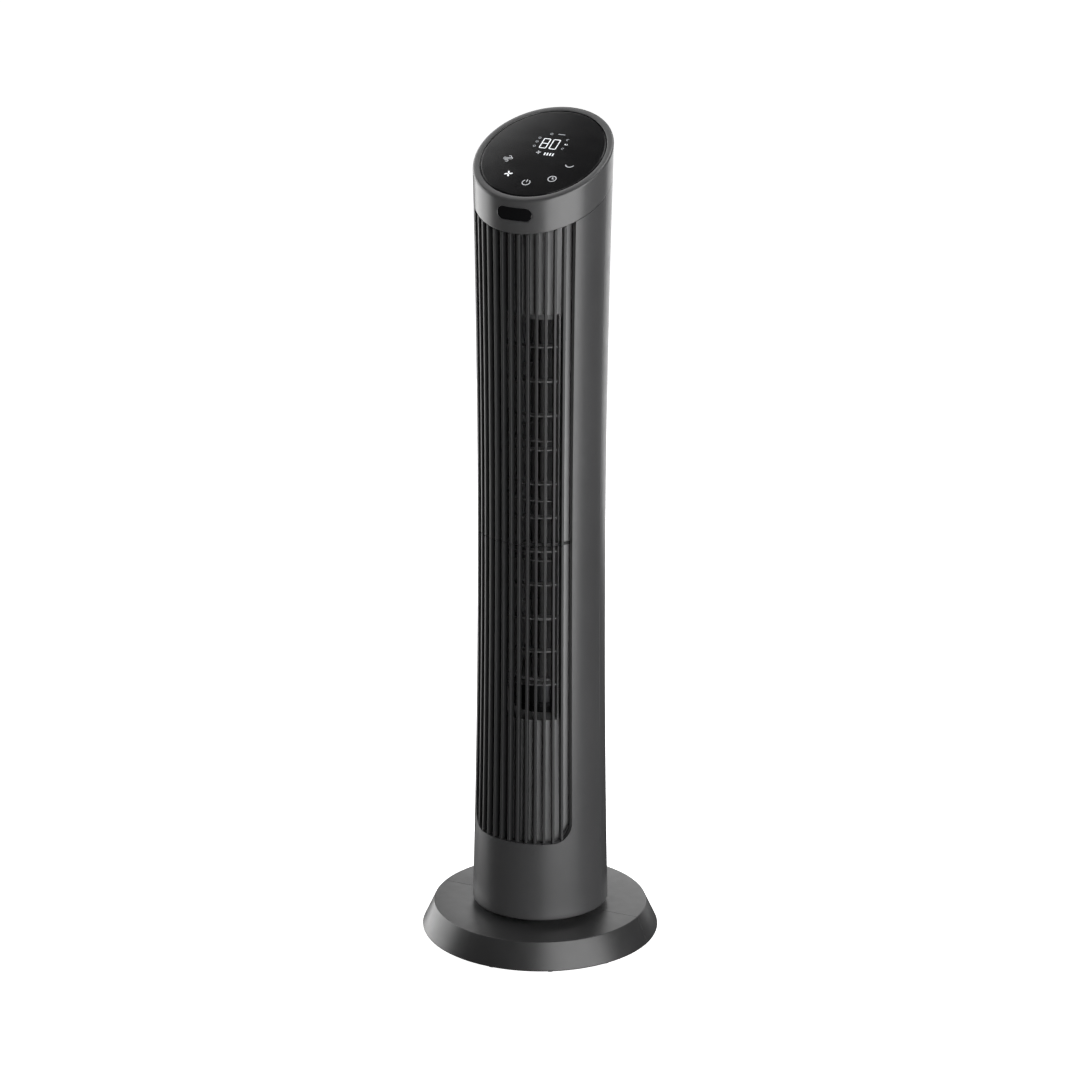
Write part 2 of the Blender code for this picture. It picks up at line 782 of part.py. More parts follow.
def make_rear_shell(column, holes):
    """The rear half. Its angles are counted from the back."""
    angles = shell_angles(INTAKE_ANGLE, INTAKE_CORNER)
    bottom, top = intake_edges(INTAKE_ANGLE)
    rows = [level_row(height) for height in (COLUMN_BOTTOM, LEDGE_BOTTOM, LEDGE_TOP, REAR_SKIRT)]
    first_open_row = len(rows)
    rows += [bottom, *rows_between(bottom, top, 5), top]
    open_rows = range(first_open_row, len(rows) - 1)
    rows.append(seam_row(GAP, math.pi))

    def is_filled(i, j, k):
        middle = (angles[i] + angles[i + 1]) / 2
        if k == 0:
            return j == 1
        return j not in open_rows or abs(middle) > INTAKE_ANGLE

    insets = (LEDGE_INSET, WALL, 0.0)
    shape = skin_lattice(angles, rows, insets, is_filled, facing=math.pi)
    shell = add_object("rear_shell", shape, (CHARCOAL, 0.42), column)
    boolean(shell, holes, "DIFFERENCE")


def rib_angles(count, width_angle):
    """The edges of a row of evenly pitched ribs, left to right."""
    first = -RIB_PITCH * (count - 1) / 2
    edges = []
    for index in range(count):
        middle = first + RIB_PITCH * index
        edges += [middle - width_angle / 2, middle + width_angle / 2]
    return edges


def grille_shape(angles, rows, first_rib_row):
    """Ribs at the full depth, joined at both ends by ties that lie behind their faces.

    The odd cells across are ribs. The first and last cells stand behind the shell's edge.
    """
    last = len(rows) - 2

    def is_filled(i, j, k):
        is_rib = i % 2 == 1
        if k == 0:
            return is_rib or j in (0, last)
        return is_rib and j >= first_rib_row

    return skin_lattice(angles, rows, (RIB_DEPTH, TIE_INSET, 0.0), is_filled)


def make_lower_grille(column):
    ribs = rib_angles(RIB_COUNT, RIB_WIDTH / WAIST_RADIUS)
    angles = [-TIE_ANGLE, *ribs, TIE_ANGLE]
    foot = shifted(opening_row, RIB_FOOT_GAP)
    split = GRILLE_SPLIT - GAP / 2
    tie = level_row(split - TIE_HEIGHT)
    rows = [level_row(DUCT_BOTTOM), foot, *rows_between(foot, tie, 4), tie, level_row(split)]
    shape = grille_shape(angles, rows, 1)
    add_object("grille_lower", shape, (CHARCOAL, 0.42), column)


def make_upper_grille(column):
    ribs = rib_angles(RIB_COUNT, RIB_WIDTH / WAIST_RADIUS)
    angles = [-TIE_ANGLE, *ribs, TIE_ANGLE]
    split = GRILLE_SPLIT + GAP / 2
    tie = level_row(split + TIE_HEIGHT)
    top = seam_row(2 * GAP)
    top_tie = seam_row(2 * GAP + TIE_HEIGHT)
    rows = [level_row(split), tie, *rows_between(tie, top_tie, 4), top_tie, top]
    shape = grille_shape(angles, rows, 0)
    add_object("grille_upper", shape, (CHARCOAL, 0.42), column)


def make_intake_grille(column):
    """A removable grille with its own border, flush in the rear shell."""
    outer = INTAKE_ANGLE - INTAKE_SIDE_GAP / WAIST_RADIUS
    inner = outer - INTAKE_BORDER / WAIST_RADIUS
    ribs = rib_angles(INTAKE_RIBS, RIB_WIDTH / WAIST_RADIUS)
    angles = [-outer, -inner, *ribs, inner, outer]
    bottom, top = intake_edges(outer)
    rows = [shifted(bottom, INTAKE_CLEARANCE), shifted(bottom, INTAKE_BORDER)]
    for height in INTAKE_TIES:
        rows += [level_row(height), level_row(height + INTAKE_TIE_HEIGHT)]
    rows += [shifted(top, -INTAKE_BORDER), shifted(top, -INTAKE_CLEARANCE)]
    last = len(rows) - 2

    def is_filled(i, j, k):
        border = i in (0, len(angles) - 2) or j in (0, last)
        is_rib = i % 2 == 0
        is_tie = j % 2 == 0
        return border or is_rib or (is_tie and k == 0)

    insets = (INTAKE_DEPTH, INTAKE_TIE_INSET, 0.0)
    shape = skin_lattice(angles, rows, insets, is_filled, facing=math.pi)
    add_object("intake_grille", shape, (DARK_GREY, 0.50), column)


# ---------------------------------------------------------------- the head


def head_outline(angle):
    """Section of the head ring at one angle: skin, rim, panel seat and inner wall."""
    seat = TOP_LEVEL - PANEL_SEAT
    seat_bottom = seat - SEAT_THICKNESS
    seat_edge = RIM_WIDTH + SEAT_WIDTH
    places = (
        (SEAM_LEVEL, 0.0),
        (TOP_LEVEL - RIM_FILLET, 0.0),
        (TOP_LEVEL - RIM_FILLET * 0.3, RIM_FILLET * 0.3),
        (TOP_LEVEL, RIM_FILLET),
        (TOP_LEVEL, RIM_WIDTH),
        (seat, RIM_WIDTH),
        (seat, seat_edge),
        (seat_bottom, seat_edge),
        (seat_bottom, WALL),
        (SEAM_LEVEL, WALL),
    )
    return [plane_point(angle, level, inset) for level, inset in places]


def pill_shape(grow, inner_inset, outer_inset):
    """A pill that follows the skin at the front of the head."""
    radius = skin_radius(WINDOW_LEVEL)
    half_height = WINDOW_HEIGHT / 2 + grow
    half_width = WINDOW_WIDTH / 2 + grow
    shares = (0.0, 0.06, 0.25, 0.55)
    right = [half_width - half_height * share for share in shares]
    straight = spread(-(half_width - half_height), half_width - half_height, 6)
    places = [-place for place in right] + straight + right[::-1]

    def corner(i, j, k):
        past = max(0.0, abs(places[i]) - (half_width - half_height))
        reach = max(0.0016, math.sqrt(max(0.0, half_height**2 - past**2)))
        height = WINDOW_LEVEL + (reach if j else -reach)
        inset = outer_inset if k else inner_inset
        return polar(places[i] / radius, skin_radius(height) - inset, height)

    return lattice((len(places) - 1, 1, 1), lambda i, j, k: True, corner)


def make_head(column):
    ring = add_object("head_ring", ring_loft(head_outline, ROUND_STEPS), (CHARCOAL, 0.38), column)
    hole = add_object("window_hole", pill_shape(GAP, 2 * WALL, -WALL), (BLACK, 0.5), column)
    boolean(ring, hole, "DIFFERENCE")
    window = pill_shape(0.0, WINDOW_DEPTH, WINDOW_RECESS)
    add_object("receiver_window", window, (BLACK, 0.12), column)
    make_touch_panel(column)


def make_touch_panel(column):
    """The glossy plate inside the rim, flush with it and held on its seat."""
    inset = RIM_WIDTH + GAP
    top = TOP_LEVEL - PANEL_RECESS
    bottom = top - PANEL_THICKNESS
    shape = bmesh.new()
    angles = [FULL_TURN * step / ROUND_STEPS for step in range(ROUND_STEPS)]
    upper = [shape.verts.new(plane_point(angle, top, inset)) for angle in angles]
    lower = [shape.verts.new(plane_point(angle, bottom, inset)) for angle in angles]
    shape.faces.new(upper)
    shape.faces.new(lower[::-1])
    for index in range(ROUND_STEPS):
        after = (index + 1) % ROUND_STEPS
        shape.faces.new((lower[index], lower[after], upper[after], upper[index]))
    add_object("touch_panel", shape, (BLACK, 0.10), column)


def board_shape(across, along, parts, part_height):
    """A circuit board with blocks on it. parts holds the (i, j) cells that carry a block."""
    levels = (0.0, BOARD_THICKNESS, part_height)
    return lattice(
        (len(across) - 1, len(along) - 1, 2),
        lambda i, j, k: k == 0 or (i, j) in parts,
        lambda i, j, k: Vector((across[i], along[j], levels[k])),
    )


def make_display_board(column):
    """The board under the panel, with the number display on it."""
    across = (-0.050, -0.017, 0.017, 0.050)
    along = (-0.036, 0.004, 0.030, 0.040)
    shape = board_shape(across, along, {(1, 1)}, 0.0060)
    board = add_object("display_board", shape, (BOARD_GREEN, 0.4), column)
    board.rotation_euler.x = SLANT
    board.location.z = TOP_LEVEL - DISPLAY_DEPTH


def make_power_board(column):
    """The upright supply board in the foot of the column."""
    across = (-0.026, -0.020, -0.004, 0.004, 0.020, 0.026)
    along = (0.0, 0.008, 0.030, 0.040, 0.062, 0.072)
    shape = board_shape(across, along, {(1, 1), (3, 1), (1, 3)}, 0.0150)
    board = add_object("power_board", shape, (BOARD_GREEN, 0.4), column)
    board.rotation_euler.x = math.pi / 2
    board.location = POWER_BOARD_PLACE


# ---------------------------------------------------------------- the air path


def make_louvre_frame(column):
    """The dark wall behind the ribs, its outlet and the fixed slats across the outlet."""
    window = spread(-OUTLET_ANGLE, OUTLET_ANGLE, 8)
    jamb = OUTLET_ANGLE + SILL / DUCT_RADIUS
    sides = [DUCT_ANGLE, FIN_ANGLE, 0.5 * (FIN_ANGLE + jamb), jamb]
    angles = [-angle for angle in sides] + window + sides[::-1]
    radii = (SLAT_INNER, SLAT_OUTER, DUCT_RADIUS - DUCT_WALL, DUCT_RADIUS, FIN_RADIUS)
    outlet_bottom = TOP_SLAT - SLAT_PITCH * SLAT_COUNT - SLAT_THICKNESS / 2
    outlet_top = TOP_SLAT + SLAT_PITCH - SLAT_THICKNESS / 2
    heights = [DUCT_BOTTOM, outlet_bottom - SILL, outlet_bottom]
    for index in reversed(range(SLAT_COUNT)):
        middle = TOP_SLAT - SLAT_PITCH * index
        heights += [middle - SLAT_THICKNESS / 2, middle + SLAT_THICKNESS / 2]
    heights += [outlet_top, outlet_top + SILL]
    outlet_rows = range(2, 2 * SLAT_COUNT + 3)

    def is_filled(i, j, k):
        middle = abs(angles[i] + angles[i + 1]) / 2
        if k == 3:
            return middle > FIN_ANGLE
        in_outlet = middle < OUTLET_ANGLE and j in outlet_rows
        if k == 2:
            return not in_outlet
        in_frame = middle < jamb and 1 <= j <= 2 * SLAT_COUNT + 3
        is_slat = j % 2 == 1
        if in_outlet:
            return k == 0 and is_slat
        return in_frame

    def corner(i, j, k):
        drop = radii[k] * math.cos(angles[i]) * math.tan(SLANT)
        height = heights[j] if j < len(heights) else SEAM_LEVEL + DUCT_RISE - drop
        return polar(angles[i], radii[k], height)

    shape = lattice((len(angles) - 1, len(heights), len(radii) - 1), is_filled, corner)
    add_object("louvre_frame", shape, (DARK_GREY, 0.50), column)


def wall_shape(start, end, start_radius, end_radius, steps):
    """An upright wall that spirals round the impeller's axis."""
    angles = spread(start, end, steps)
    radii = spread(start_radius, end_radius, steps)
    bottom = MOTOR_PLATE + PLATE_THICKNESS + GAP
    top = BEARING_PLATE - GAP
    return lattice(
        (steps, 1, 1),
        lambda i, j, k: True,
        lambda i, j, k: polar(angles[i], radii[i] + k * SCROLL_THICKNESS, top if j else bottom),
    )


def make_scroll(column):
    """The two walls that steer the air through the impeller."""
    scroll = wall_shape(math.radians(58.0), math.radians(165.0), 0.0460, 0.0600, 14)
    tongue = wall_shape(math.radians(-84.0), math.radians(-56.0), 0.0445, 0.0460, 4)
    for name, shape in (("scroll_wall", scroll), ("vortex_tongue", tongue)):
        wall = add_object(name, shape, (DARK_GREY, 0.55), column)
        wall.location.y = IMPELLER_Y


def make_plate(name, bottom, hole_radius, column):
    """A round plate across the column, narrower in front of the louvre frame."""

    def outline_at(angle):
        in_front = math.cos(angle) > math.cos(PLATE_FRONT_ANGLE)
        reach = PLATE_FRONT_RADIUS if in_front else PLATE_REAR_RADIUS
        inner = polar(angle, hole_radius, 0.0) + Vector((0.0, IMPELLER_Y, 0.0))
        outer = polar(angle, reach, 0.0)
        lift = Vector((0.0, 0.0, 1.0))
        top = bottom + PLATE_THICKNESS
        return [inner + lift * bottom, outer + lift * bottom, outer + lift * top, inner + lift * top]

    add_object(name, ring_loft(outline_at, PLATE_STEPS), (DARK_GREY, 0.55), column)


def make_motor(column):
    """A round motor that stands on its plate, with a bore for the impeller's shaft."""
    bottom = MOTOR_PLATE + PLATE_THICKNESS + GAP
    top = bottom + MOTOR_HEIGHT
    bore = SHAFT_RADIUS + GAP
    profile = [
        (bore, top),
        (MOTOR_RADIUS - 0.0060, top),
        (MOTOR_RADIUS, top - 0.0040),
        (MOTOR_RADIUS, bottom),
        (0.0, bottom),
        (0.0, top - MOTOR_BORE_DEPTH),
        (bore, top - MOTOR_BORE_DEPTH),
    ]
    motor = add_object("fan_motor", turned(profile, SMALL_STEPS), (STEEL, 0.40, 1.0), column)
    motor.location.y = IMPELLER_Y


def make_bearing(column):
    """A bronze bush in a rubber cushion, in the plate over the impeller."""
    bush_radius = SHAFT_RADIUS + GAP + BUSH_WALL
    cushion_radius = bush_radius + GAP + CUSHION_WALL
    make_plate("bearing_plate", BEARING_PLATE, cushion_radius + GAP, column)
    bottom = BEARING_PLATE - BUSH_OVERHANG
    top = BEARING_PLATE + PLATE_THICKNESS + BUSH_OVERHANG
    rings = (
        ("bearing_bush", SHAFT_RADIUS + GAP, bush_radius, (BRONZE, 0.35, 1.0)),
        ("bearing_cushion", bush_radius + GAP, cushion_radius, (BLACK, 0.85)),
    )
    for name, inner, outer, look in rings:
        profile = ring_profile(inner, outer, bottom, top)
        ring = add_object(name, turned(profile, SMALL_STEPS), look, column)
        ring.location.y = IMPELLER_Y


# ---------------------------------------------------------------- the impeller


def impeller_heights():
    """Disc, hub end and rings, then hub end, rim and disc, from the bottom up."""
    inner_bottom = IMPELLER_BOTTOM + DISC_THICKNESS
    inner_top = IMPELLER_TOP - DISC_THICKNESS
    heights = [IMPELLER_BOTTOM, inner_bottom, IMPELLER_BOTTOM + HUB_LENGTH]
    spacing = (IMPELLER_TOP - TOP_RIM - inner_bottom) / (RING_COUNT + 1)
    for index in range(RING_COUNT):
        middle = inner_bottom + spacing * (index + 1)
        heights += [middle - RING_THICKNESS / 2, middle + RING_THICKNESS / 2]
    return heights + [IMPELLER_TOP - HUB_LENGTH, IMPELLER_TOP - TOP_RIM, inner_top, IMPELLER_TOP]


def make_impeller(pivot):
    """Leaning blades between two end discs, stiffened by rings, with a hub and a pin at each end."""
    heights = impeller_heights()
    radii = (SHAFT_RADIUS + GAP, HUB_RADIUS, BLADE_INNER, IMPELLER_RADIUS)
    blade_angle = BLADE_THICKNESS / IMPELLER_RADIUS
    pitch = FULL_TURN / BLADE_COUNT
    last = len(heights) - 2
    ring_rows = [*range(3, 3 + 2 * RING_COUNT, 2), last - 1]

    def is_filled(i, j, k):
        is_disc = j in (0, last)
        if k == 0:
            return is_disc or j in (1, last - 2, last - 1)
        if k == 1:
            return is_disc
        return is_disc or j in ring_rows or i % 2 == 0

    def corner(i, j, k):
        angle = pitch * (i // 2) + (blade_angle if i % 2 else 0.0)
        lean = BLADE_LEAN if k == 3 else 0.0
        return polar(angle + lean, radii[k], heights[j])

    counts = (2 * BLADE_COUNT, len(heights) - 1, 3)
    shape = lattice(counts, is_filled, corner, wraps=True)
    add_object("impeller", shape, (DARK_GREY, 0.45), pivot)
    make_pins(pivot)


def make_pins(pivot):
    """The motor's shaft in the lower hub, and the pin that runs in the bearing above."""
    motor_top = MOTOR_PLATE + PLATE_THICKNESS + GAP + MOTOR_HEIGHT
    shaft_bottom = motor_top - MOTOR_BORE_DEPTH + 0.0010
    pins = (
        ("motor_shaft", shaft_bottom, IMPELLER_BOTTOM + HUB_LENGTH - 0.0010),
        ("top_pin", IMPELLER_TOP - HUB_LENGTH + 0.0010, BEARING_PLATE + 0.0090),
    )
    for name, bottom, top in pins:
        pin = solid_cylinder(SHAFT_RADIUS, bottom, top, SMALL_STEPS)
        add_object(name, pin, (STEEL, 0.25, 1.0), pivot)


# ---------------------------------------------------------------- the whole fan


def make_column(column):
    """Everything that swings, but for the pieces that also spin."""
    tip = TURNTABLE_SCREW_TIP
    holes = screw_holes(
        "turntable_screw_holes", SCREW_CIRCLE_TURNTABLE, BASE_TOP, tip + 2 * SCREW_HOLE_MARGIN
    )
    make_turntable(column, holes)
    make_retaining_ring(column)
    make_screws("turntable_screw", SCREW_CIRCLE_TURNTABLE, TURNTABLE_BOTTOM - GAP, tip, column)
    make_swing_motor(column)
    make_front_shell(column, holes)
    make_rear_shell(column, holes)
    make_lower_grille(column)
    make_upper_grille(column)
    make_intake_grille(column)
    make_head(column)
    make_display_board(column)
    make_power_board(column)
    make_louvre_frame(column)
    make_scroll(column)
    make_plate("motor_plate", MOTOR_PLATE, MOTOR_PLATE_BORE, column)
    make_motor(column)
    make_bearing(column)


def main():
    clear_scene()
    column = make_pivot("column_axis", (0.0, 0.0, 0.0))
    impeller = make_pivot("impeller_axis", (0.0, IMPELLER_Y, 0.0), column)
    pinion = make_pivot("pinion_axis", (0.0, PINION_DISTANCE, 0.0), column)
    make_base()
    make_pinion(pinion)
    make_column(column)
    make_impeller(impeller)


main()
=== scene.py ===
"""The visible fan: fine geometry, finishes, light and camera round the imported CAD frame.

Metres, +Z up, front towards -Y. Angles are counted from the front towards +X, as in the CAD.
"""

import json
import math

import bmesh
import bpy
from mathutils import Matrix, Vector


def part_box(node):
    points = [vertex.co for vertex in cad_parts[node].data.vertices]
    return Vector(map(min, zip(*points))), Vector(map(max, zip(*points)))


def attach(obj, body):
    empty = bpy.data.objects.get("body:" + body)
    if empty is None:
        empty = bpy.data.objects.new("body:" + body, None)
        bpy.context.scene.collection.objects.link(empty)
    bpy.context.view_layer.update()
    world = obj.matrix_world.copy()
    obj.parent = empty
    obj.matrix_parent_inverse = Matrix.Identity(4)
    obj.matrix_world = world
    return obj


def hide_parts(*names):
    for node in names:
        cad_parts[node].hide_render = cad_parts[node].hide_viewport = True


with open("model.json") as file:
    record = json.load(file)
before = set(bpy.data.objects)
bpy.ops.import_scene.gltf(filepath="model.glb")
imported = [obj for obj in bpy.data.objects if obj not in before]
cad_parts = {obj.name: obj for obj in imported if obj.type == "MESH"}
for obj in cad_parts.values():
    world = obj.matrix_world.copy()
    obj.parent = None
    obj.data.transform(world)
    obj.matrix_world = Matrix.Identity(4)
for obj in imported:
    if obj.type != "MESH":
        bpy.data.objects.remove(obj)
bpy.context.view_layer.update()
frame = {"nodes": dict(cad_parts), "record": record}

FULL_TURN = 2 * math.pi
MM = 0.001

# The column's skin, as the CAD has it: one long arc from the floor to the slanted top.
HEIGHT = 1.000
WAIST_RADIUS = 0.0753
WAIST_HEIGHT = 0.510
ARC_RADIUS = 18.3
WALL = 0.0025
SEAM_GAP = 0.0003
COLUMN_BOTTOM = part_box("front_shell")[0].z
BOTTOM_ROUNDING = 0.0022
FRONT_SKIRT_LEVELS = (0.0474, 0.0550, 0.0750, 0.0950)
REAR_SKIRT_LEVELS = (0.0550, 0.0800, 0.1000)

# The head.
SLANT = math.radians(23.9)
HEAD_DEPTH = 0.0395
HEAD_EDGE = 0.0004
HEAD_FLANK_START = 0.0015
HEAD_FLANK_END = 0.0030
RIM_WIDTH = 0.0078
RIM_FILLET = 0.0024
RIM_INNER_FILLET = 0.0005
PANEL_SEAT = 0.0030
PANEL_SHELF_WIDTH = 0.0030
PANEL_SHELF_THICKNESS = 0.0022
PANEL_RECESS = 0.0002
PANEL_THICKNESS = 0.0024
PANEL_FILLET = 0.0003
PANEL_LIP = 0.0004
PANEL_GROOVE = 0.0015
PANEL_GROOVE_DEPTH = 0.0014
WINDOW_WIDTH = 0.0435
WINDOW_HEIGHT = 0.0150
WINDOW_LEVEL = 0.9121
WINDOW_DEPTH = 0.0022
WINDOW_RECESS = 0.0006
WINDOW_CUT_REACH = 0.0060

# The outlet and its ribs.
OPENING_ANGLE = math.radians(53.3)
OPENING_BOTTOM = 0.1380
OPENING_CORNER = 0.0240
RETURN_DEPTH = 0.0065
RETURN_WIDTH = 0.0018
RIB_COUNT = 12
RIB_PITCH = math.radians(8.0)
RIB_WIDTH = 0.0033
RIB_DEPTH = 0.0090
RIB_FOOT_GAP = 0.0007
TIE_INSET = 0.0074
TIE_HEIGHT = 0.0016
TIE_ANGLE = math.radians(56.0)
GRILLE_SPLIT = 0.5120

# The intake in the back.
INTAKE_ANGLE = math.radians(50.0)
INTAKE_BOTTOM = 0.1500
INTAKE_TOP = 0.8800
INTAKE_CORNER = 0.0200
INTAKE_RIBS = 10
INTAKE_BORDER = 0.0040
INTAKE_SIDE_GAP = 0.0006
INTAKE_CLEARANCE = 0.0010
INTAKE_TIES = (0.3300, 0.5120, 0.7000)
INTAKE_TIE_HEIGHT = 0.0030
INTAKE_GRILLE_DEPTHS = (0.0060, 0.0030, 0.0)

# The inner wall with the slats.
DUCT_RADIUS = 0.0650
DUCT_WALL = 0.0025
DUCT_BOTTOM = 0.1310
DUCT_RISE = 0.0030
DUCT_ANGLE = math.radians(62.0)
FIN_ANGLE = math.radians(60.0)
FIN_RADIUS = 0.0722
OUTLET_ANGLE = math.radians(42.0)
SLAT_COUNT = 11
SLAT_PITCH = 0.0416
SLAT_THICKNESS = 0.0018
TOP_SLAT = 0.7500
SLAT_INNER = 0.0500
SLAT_OUTER = 0.0605
SILL = 0.0025

# The impeller.
IMPELLER_AXIS_Y = 0.0060
IMPELLER_BOTTOM, IMPELLER_TOP = (corner.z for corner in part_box("impeller"))
IMPELLER_RADIUS = 0.0420
BLADE_INNER = 0.0310
BLADE_COUNT = 24
BLADE_THICKNESS = 0.0009
BLADE_LEAN = math.radians(14.0)
BLADE_CURL = 1.7
IMPELLER_RINGS = 5
RING_THICKNESS = 0.0016
DISC_THICKNESS = 0.0030
HUB_RADIUS = 0.0100
HUB_LENGTH = 0.0160
TOP_RIM = 0.0120
SHAFT_RADIUS = 0.0040

# The fan motor's can, with a bead round it near its foot.
SHAFT_BORE_DEPTH = 0.0300
CAN_SHOULDER = 0.0060
CAN_SHOULDER_DROP = 0.0030
CAN_FILLET = 0.0020
BEAD_BOTTOM = 0.0075
BEAD_TOP = 0.0125
BEAD_HEIGHT = 0.0010

# The base.
FOOT_COUNT = 12
FOOT_RADIUS = 0.0048
FOOT_CIRCLE = 0.1345
FOOT_HEIGHT = 0.0015
FOOT_FILLET = 0.0007
BASE_BOTTOM = 0.0018
BASE_TOP = 0.0338
BASE_BOTTOM_RADIUS = 0.1426
BASE_TOP_RADIUS = 0.1278
BASE_WALL = 0.0030
BASE_FLANGE = 0.0150
BASE_FILLET = 0.0012
BASE_FLANGE_FILLET = 0.0008
COLLAR_THICKNESS = 0.0062
COLLAR_MARGIN = 0.0040
COLLAR_FILLET = 0.0005
NECK_RADIUS = 0.0580
NECK_TOP = 0.0415
NECK_WALL = 0.0030
NECK_FLOOR = 0.0345
NECK_FLANGE_RADIUS = 0.0740
STEM_RADIUS = 0.0160
BEARING_WALL = 0.0040
BEARING_RISE = 0.0060
BEARING_BOTTOM = 0.0180
GLAND_RADIUS = 0.0052
GLAND_BORE = 0.0034
GLAND_LEVEL = 0.0135
GLAND_ENDS = (-0.0070, 0.0022)
GLAND_GROOVE = (0.0003, 0.0006, 0.0010, 0.0013)
GLAND_GROOVE_DEPTH = 0.0005
GLAND_TAPER = (0.0001, 0.0007)
GLAND_FILLET = 0.0004

# Widths of the rounded edges, and the angles from which an edge is rounded or looks sharp.
SHELL_EDGE = 0.0004
RIB_EDGE = 0.0010
INTAKE_EDGE = 0.0005
WINDOW_EDGE = 0.0003
BLADE_EDGE = 0.0002
BASE_EDGE = 0.0001
CAD_EDGE = 0.0003
ROUNDED_FROM = math.radians(40.0)
SHARP_FROM = math.radians(35.0)

# The marks on the panel. Places are millimetres from its middle, to the right and up the slope,
# and an icon has a centre and a size.
MARK_LIFTS = (0.00002, 0.00007)
MARK_STROKE = 1.0
MITRE_LIMIT = 0.4
DIGIT_WIDTH = 7.9
DIGIT_HEIGHT = 17.0
DIGIT_STROKE = 1.15
DIGIT_GAP = 0.25
BAR_COUNT = 4
BAR_START = (2.1, -2.1)
BAR_PITCH = 3.4
BAR_HEIGHT = 4.6
BAR_WIDTH = 1.5
LIT_FAN = ((-25.5, -42.0), 5.0)
SMALL_FAN = ((-6.4, 1.6), 3.0)
FAN_TURN = math.radians(8.0)
SPEAKER = ((19.4, 20.7), 1.4)
BREEZE = ((-37.9, -15.7), 5.6)
BREEZE_STROKE = 0.75
POWER = ((1.5, -53.3), 4.6)
CLOCK = ((29.1, -41.6), 4.8)
SMILE = ((39.6, -12.6), 5.2)
SMILE_STROKE = 1.1
DASH = ((3.8, 37.3), (12.2, 37.3))
DASH_STROKE = 1.3
ROUND_SIGNS = ((-4.3, 36.5), (-15.4, 27.2), (-16.1, 20.2), (-16.0, 11.9))
OPEN_SIGNS = ((18.9, 29.1), (19.3, 12.6))
SIGN_RADIUS = 1.4
SIGN_STROKE = 0.7

# Each bar of a figure runs between two corners of a grid of two cells, one on top of the other.
# The last one is the middle bar, which an 8 has and a 0 lacks.
DIGIT_BARS = (
    ((0, 2), (1, 2)),
    ((0, 0), (1, 0)),
    ((0, 1), (0, 2)),
    ((1, 1), (1, 2)),
    ((0, 0), (0, 1)),
    ((1, 0), (1, 1)),
    ((0, 1), (1, 1)),
)
DIGITS = (((-9.2, 10.1), DIGIT_BARS), ((3.0, 10.1), DIGIT_BARS[:-1]))

# The gusts of the breeze mark: level, start, end and curl, as shares of the mark's size.
GUSTS = ((0.25, -0.9, 0.3, 0.32), (-0.10, -1.0, 0.75, 0.26), (-0.45, -0.6, 0.1, -0.26))


# ---- shape tools


def polar(angle, radius, height):
    return Vector((radius * math.sin(angle), -radius * math.cos(angle), height))


def spread(start, end, steps):
    """Evenly spaced values from start to end, both included."""
    return [start + (end - start) * step / steps for step in range(steps + 1)]


CELL_FACES = (
    ((1, 0, 0), ((1, 0, 0), (1, 1, 0), (1, 1, 1), (1, 0, 1))),
    ((-1, 0, 0), ((0, 0, 0), (0, 0, 1), (0, 1, 1), (0, 1, 0))),
    ((0, 1, 0), ((0, 1, 0), (0, 1, 1), (1, 1, 1), (1, 1, 0))),
    ((0, -1, 0), ((0, 0, 0), (1, 0, 0), (1, 0, 1), (0, 0, 1))),
    ((0, 0, 1), ((0, 0, 1), (1, 0, 1), (1, 1, 1), (0, 1, 1))),
    ((0, 0, -1), ((0, 0, 0), (0, 1, 0), (1, 1, 0), (1, 0, 0))),
)


def lattice(counts, is_filled, corner, wraps=False):
    """One body made of the filled cells of a bent lattice.

    counts is the number of cells along the three lattice directions, is_filled(i, j, k) says
    whether a cell holds material, and corner(i, j, k) places a lattice point in space. With
    wraps, the last cell of the first direction meets the first one.
    """
    shape = bmesh.new()
    placed = {}

    def vertex(i, j, k):
        key = (i % counts[0] if wraps else i, j, k)
        if key not in placed:
            placed[key] = shape.verts.new(corner(*key))
        return placed[key]

    def filled(i, j, k):
        if wraps:
            i %= counts[0]
        inside = 0 <= i < counts[0] and 0 <= j < counts[1] and 0 <= k < counts[2]
        return inside and is_filled(i, j, k)

    for i in range(counts[0]):
        for j in range(counts[1]):
            for k in range(counts[2]):
                if not filled(i, j, k):
                    continue
                for (di, dj, dk), corners in CELL_FACES:
                    if not filled(i + di, j + dj, k + dk):
                        shape.faces.new([vertex(i + a, j + b, k + c) for a, b, c in corners])
    return shape


def join_rings(shape, rings, closed=False):
    """Join rings of vertices into a skin, and cap its two ends unless it closes on itself."""
    pairs = zip(rings, rings[1:] + rings[:1]) if closed else zip(rings, rings[1:])
    for ring, following in pairs:
        for index in range(len(ring)):
            after = (index + 1) % len(ring)
            shape.faces.new((ring[index], following[index], following[after], ring[after]))
    if not closed:
        shape.faces.new(rings[0])
        shape.faces.new(rings[-1])


def ring_loft(outline_at, steps, start=0.0, sweep=FULL_TURN):
    """Carry a closed outline round the axis. outline_at(angle) gives its points in space."""
    shape = bmesh.new()
    closed = sweep >= FULL_TURN
    angles = [start + sweep * step / steps for step in range(steps if closed else steps + 1)]
    rings = [[shape.verts.new(point) for point in outline_at(angle)] for angle in angles]
    join_rings(shape, rings, closed)
    return shape


def turned(profile, steps, start=0.0, sweep=FULL_TURN, centre=(0.0, 0.0)):
    """A solid of revolution. The profile is a closed outline of (radius, height) points."""
    offset = Vector((*centre, 0.0))
    return ring_loft(
        lambda angle: [polar(angle, radius, height) + offset for radius, height in profile],
        steps,
        start,
        sweep,
    )


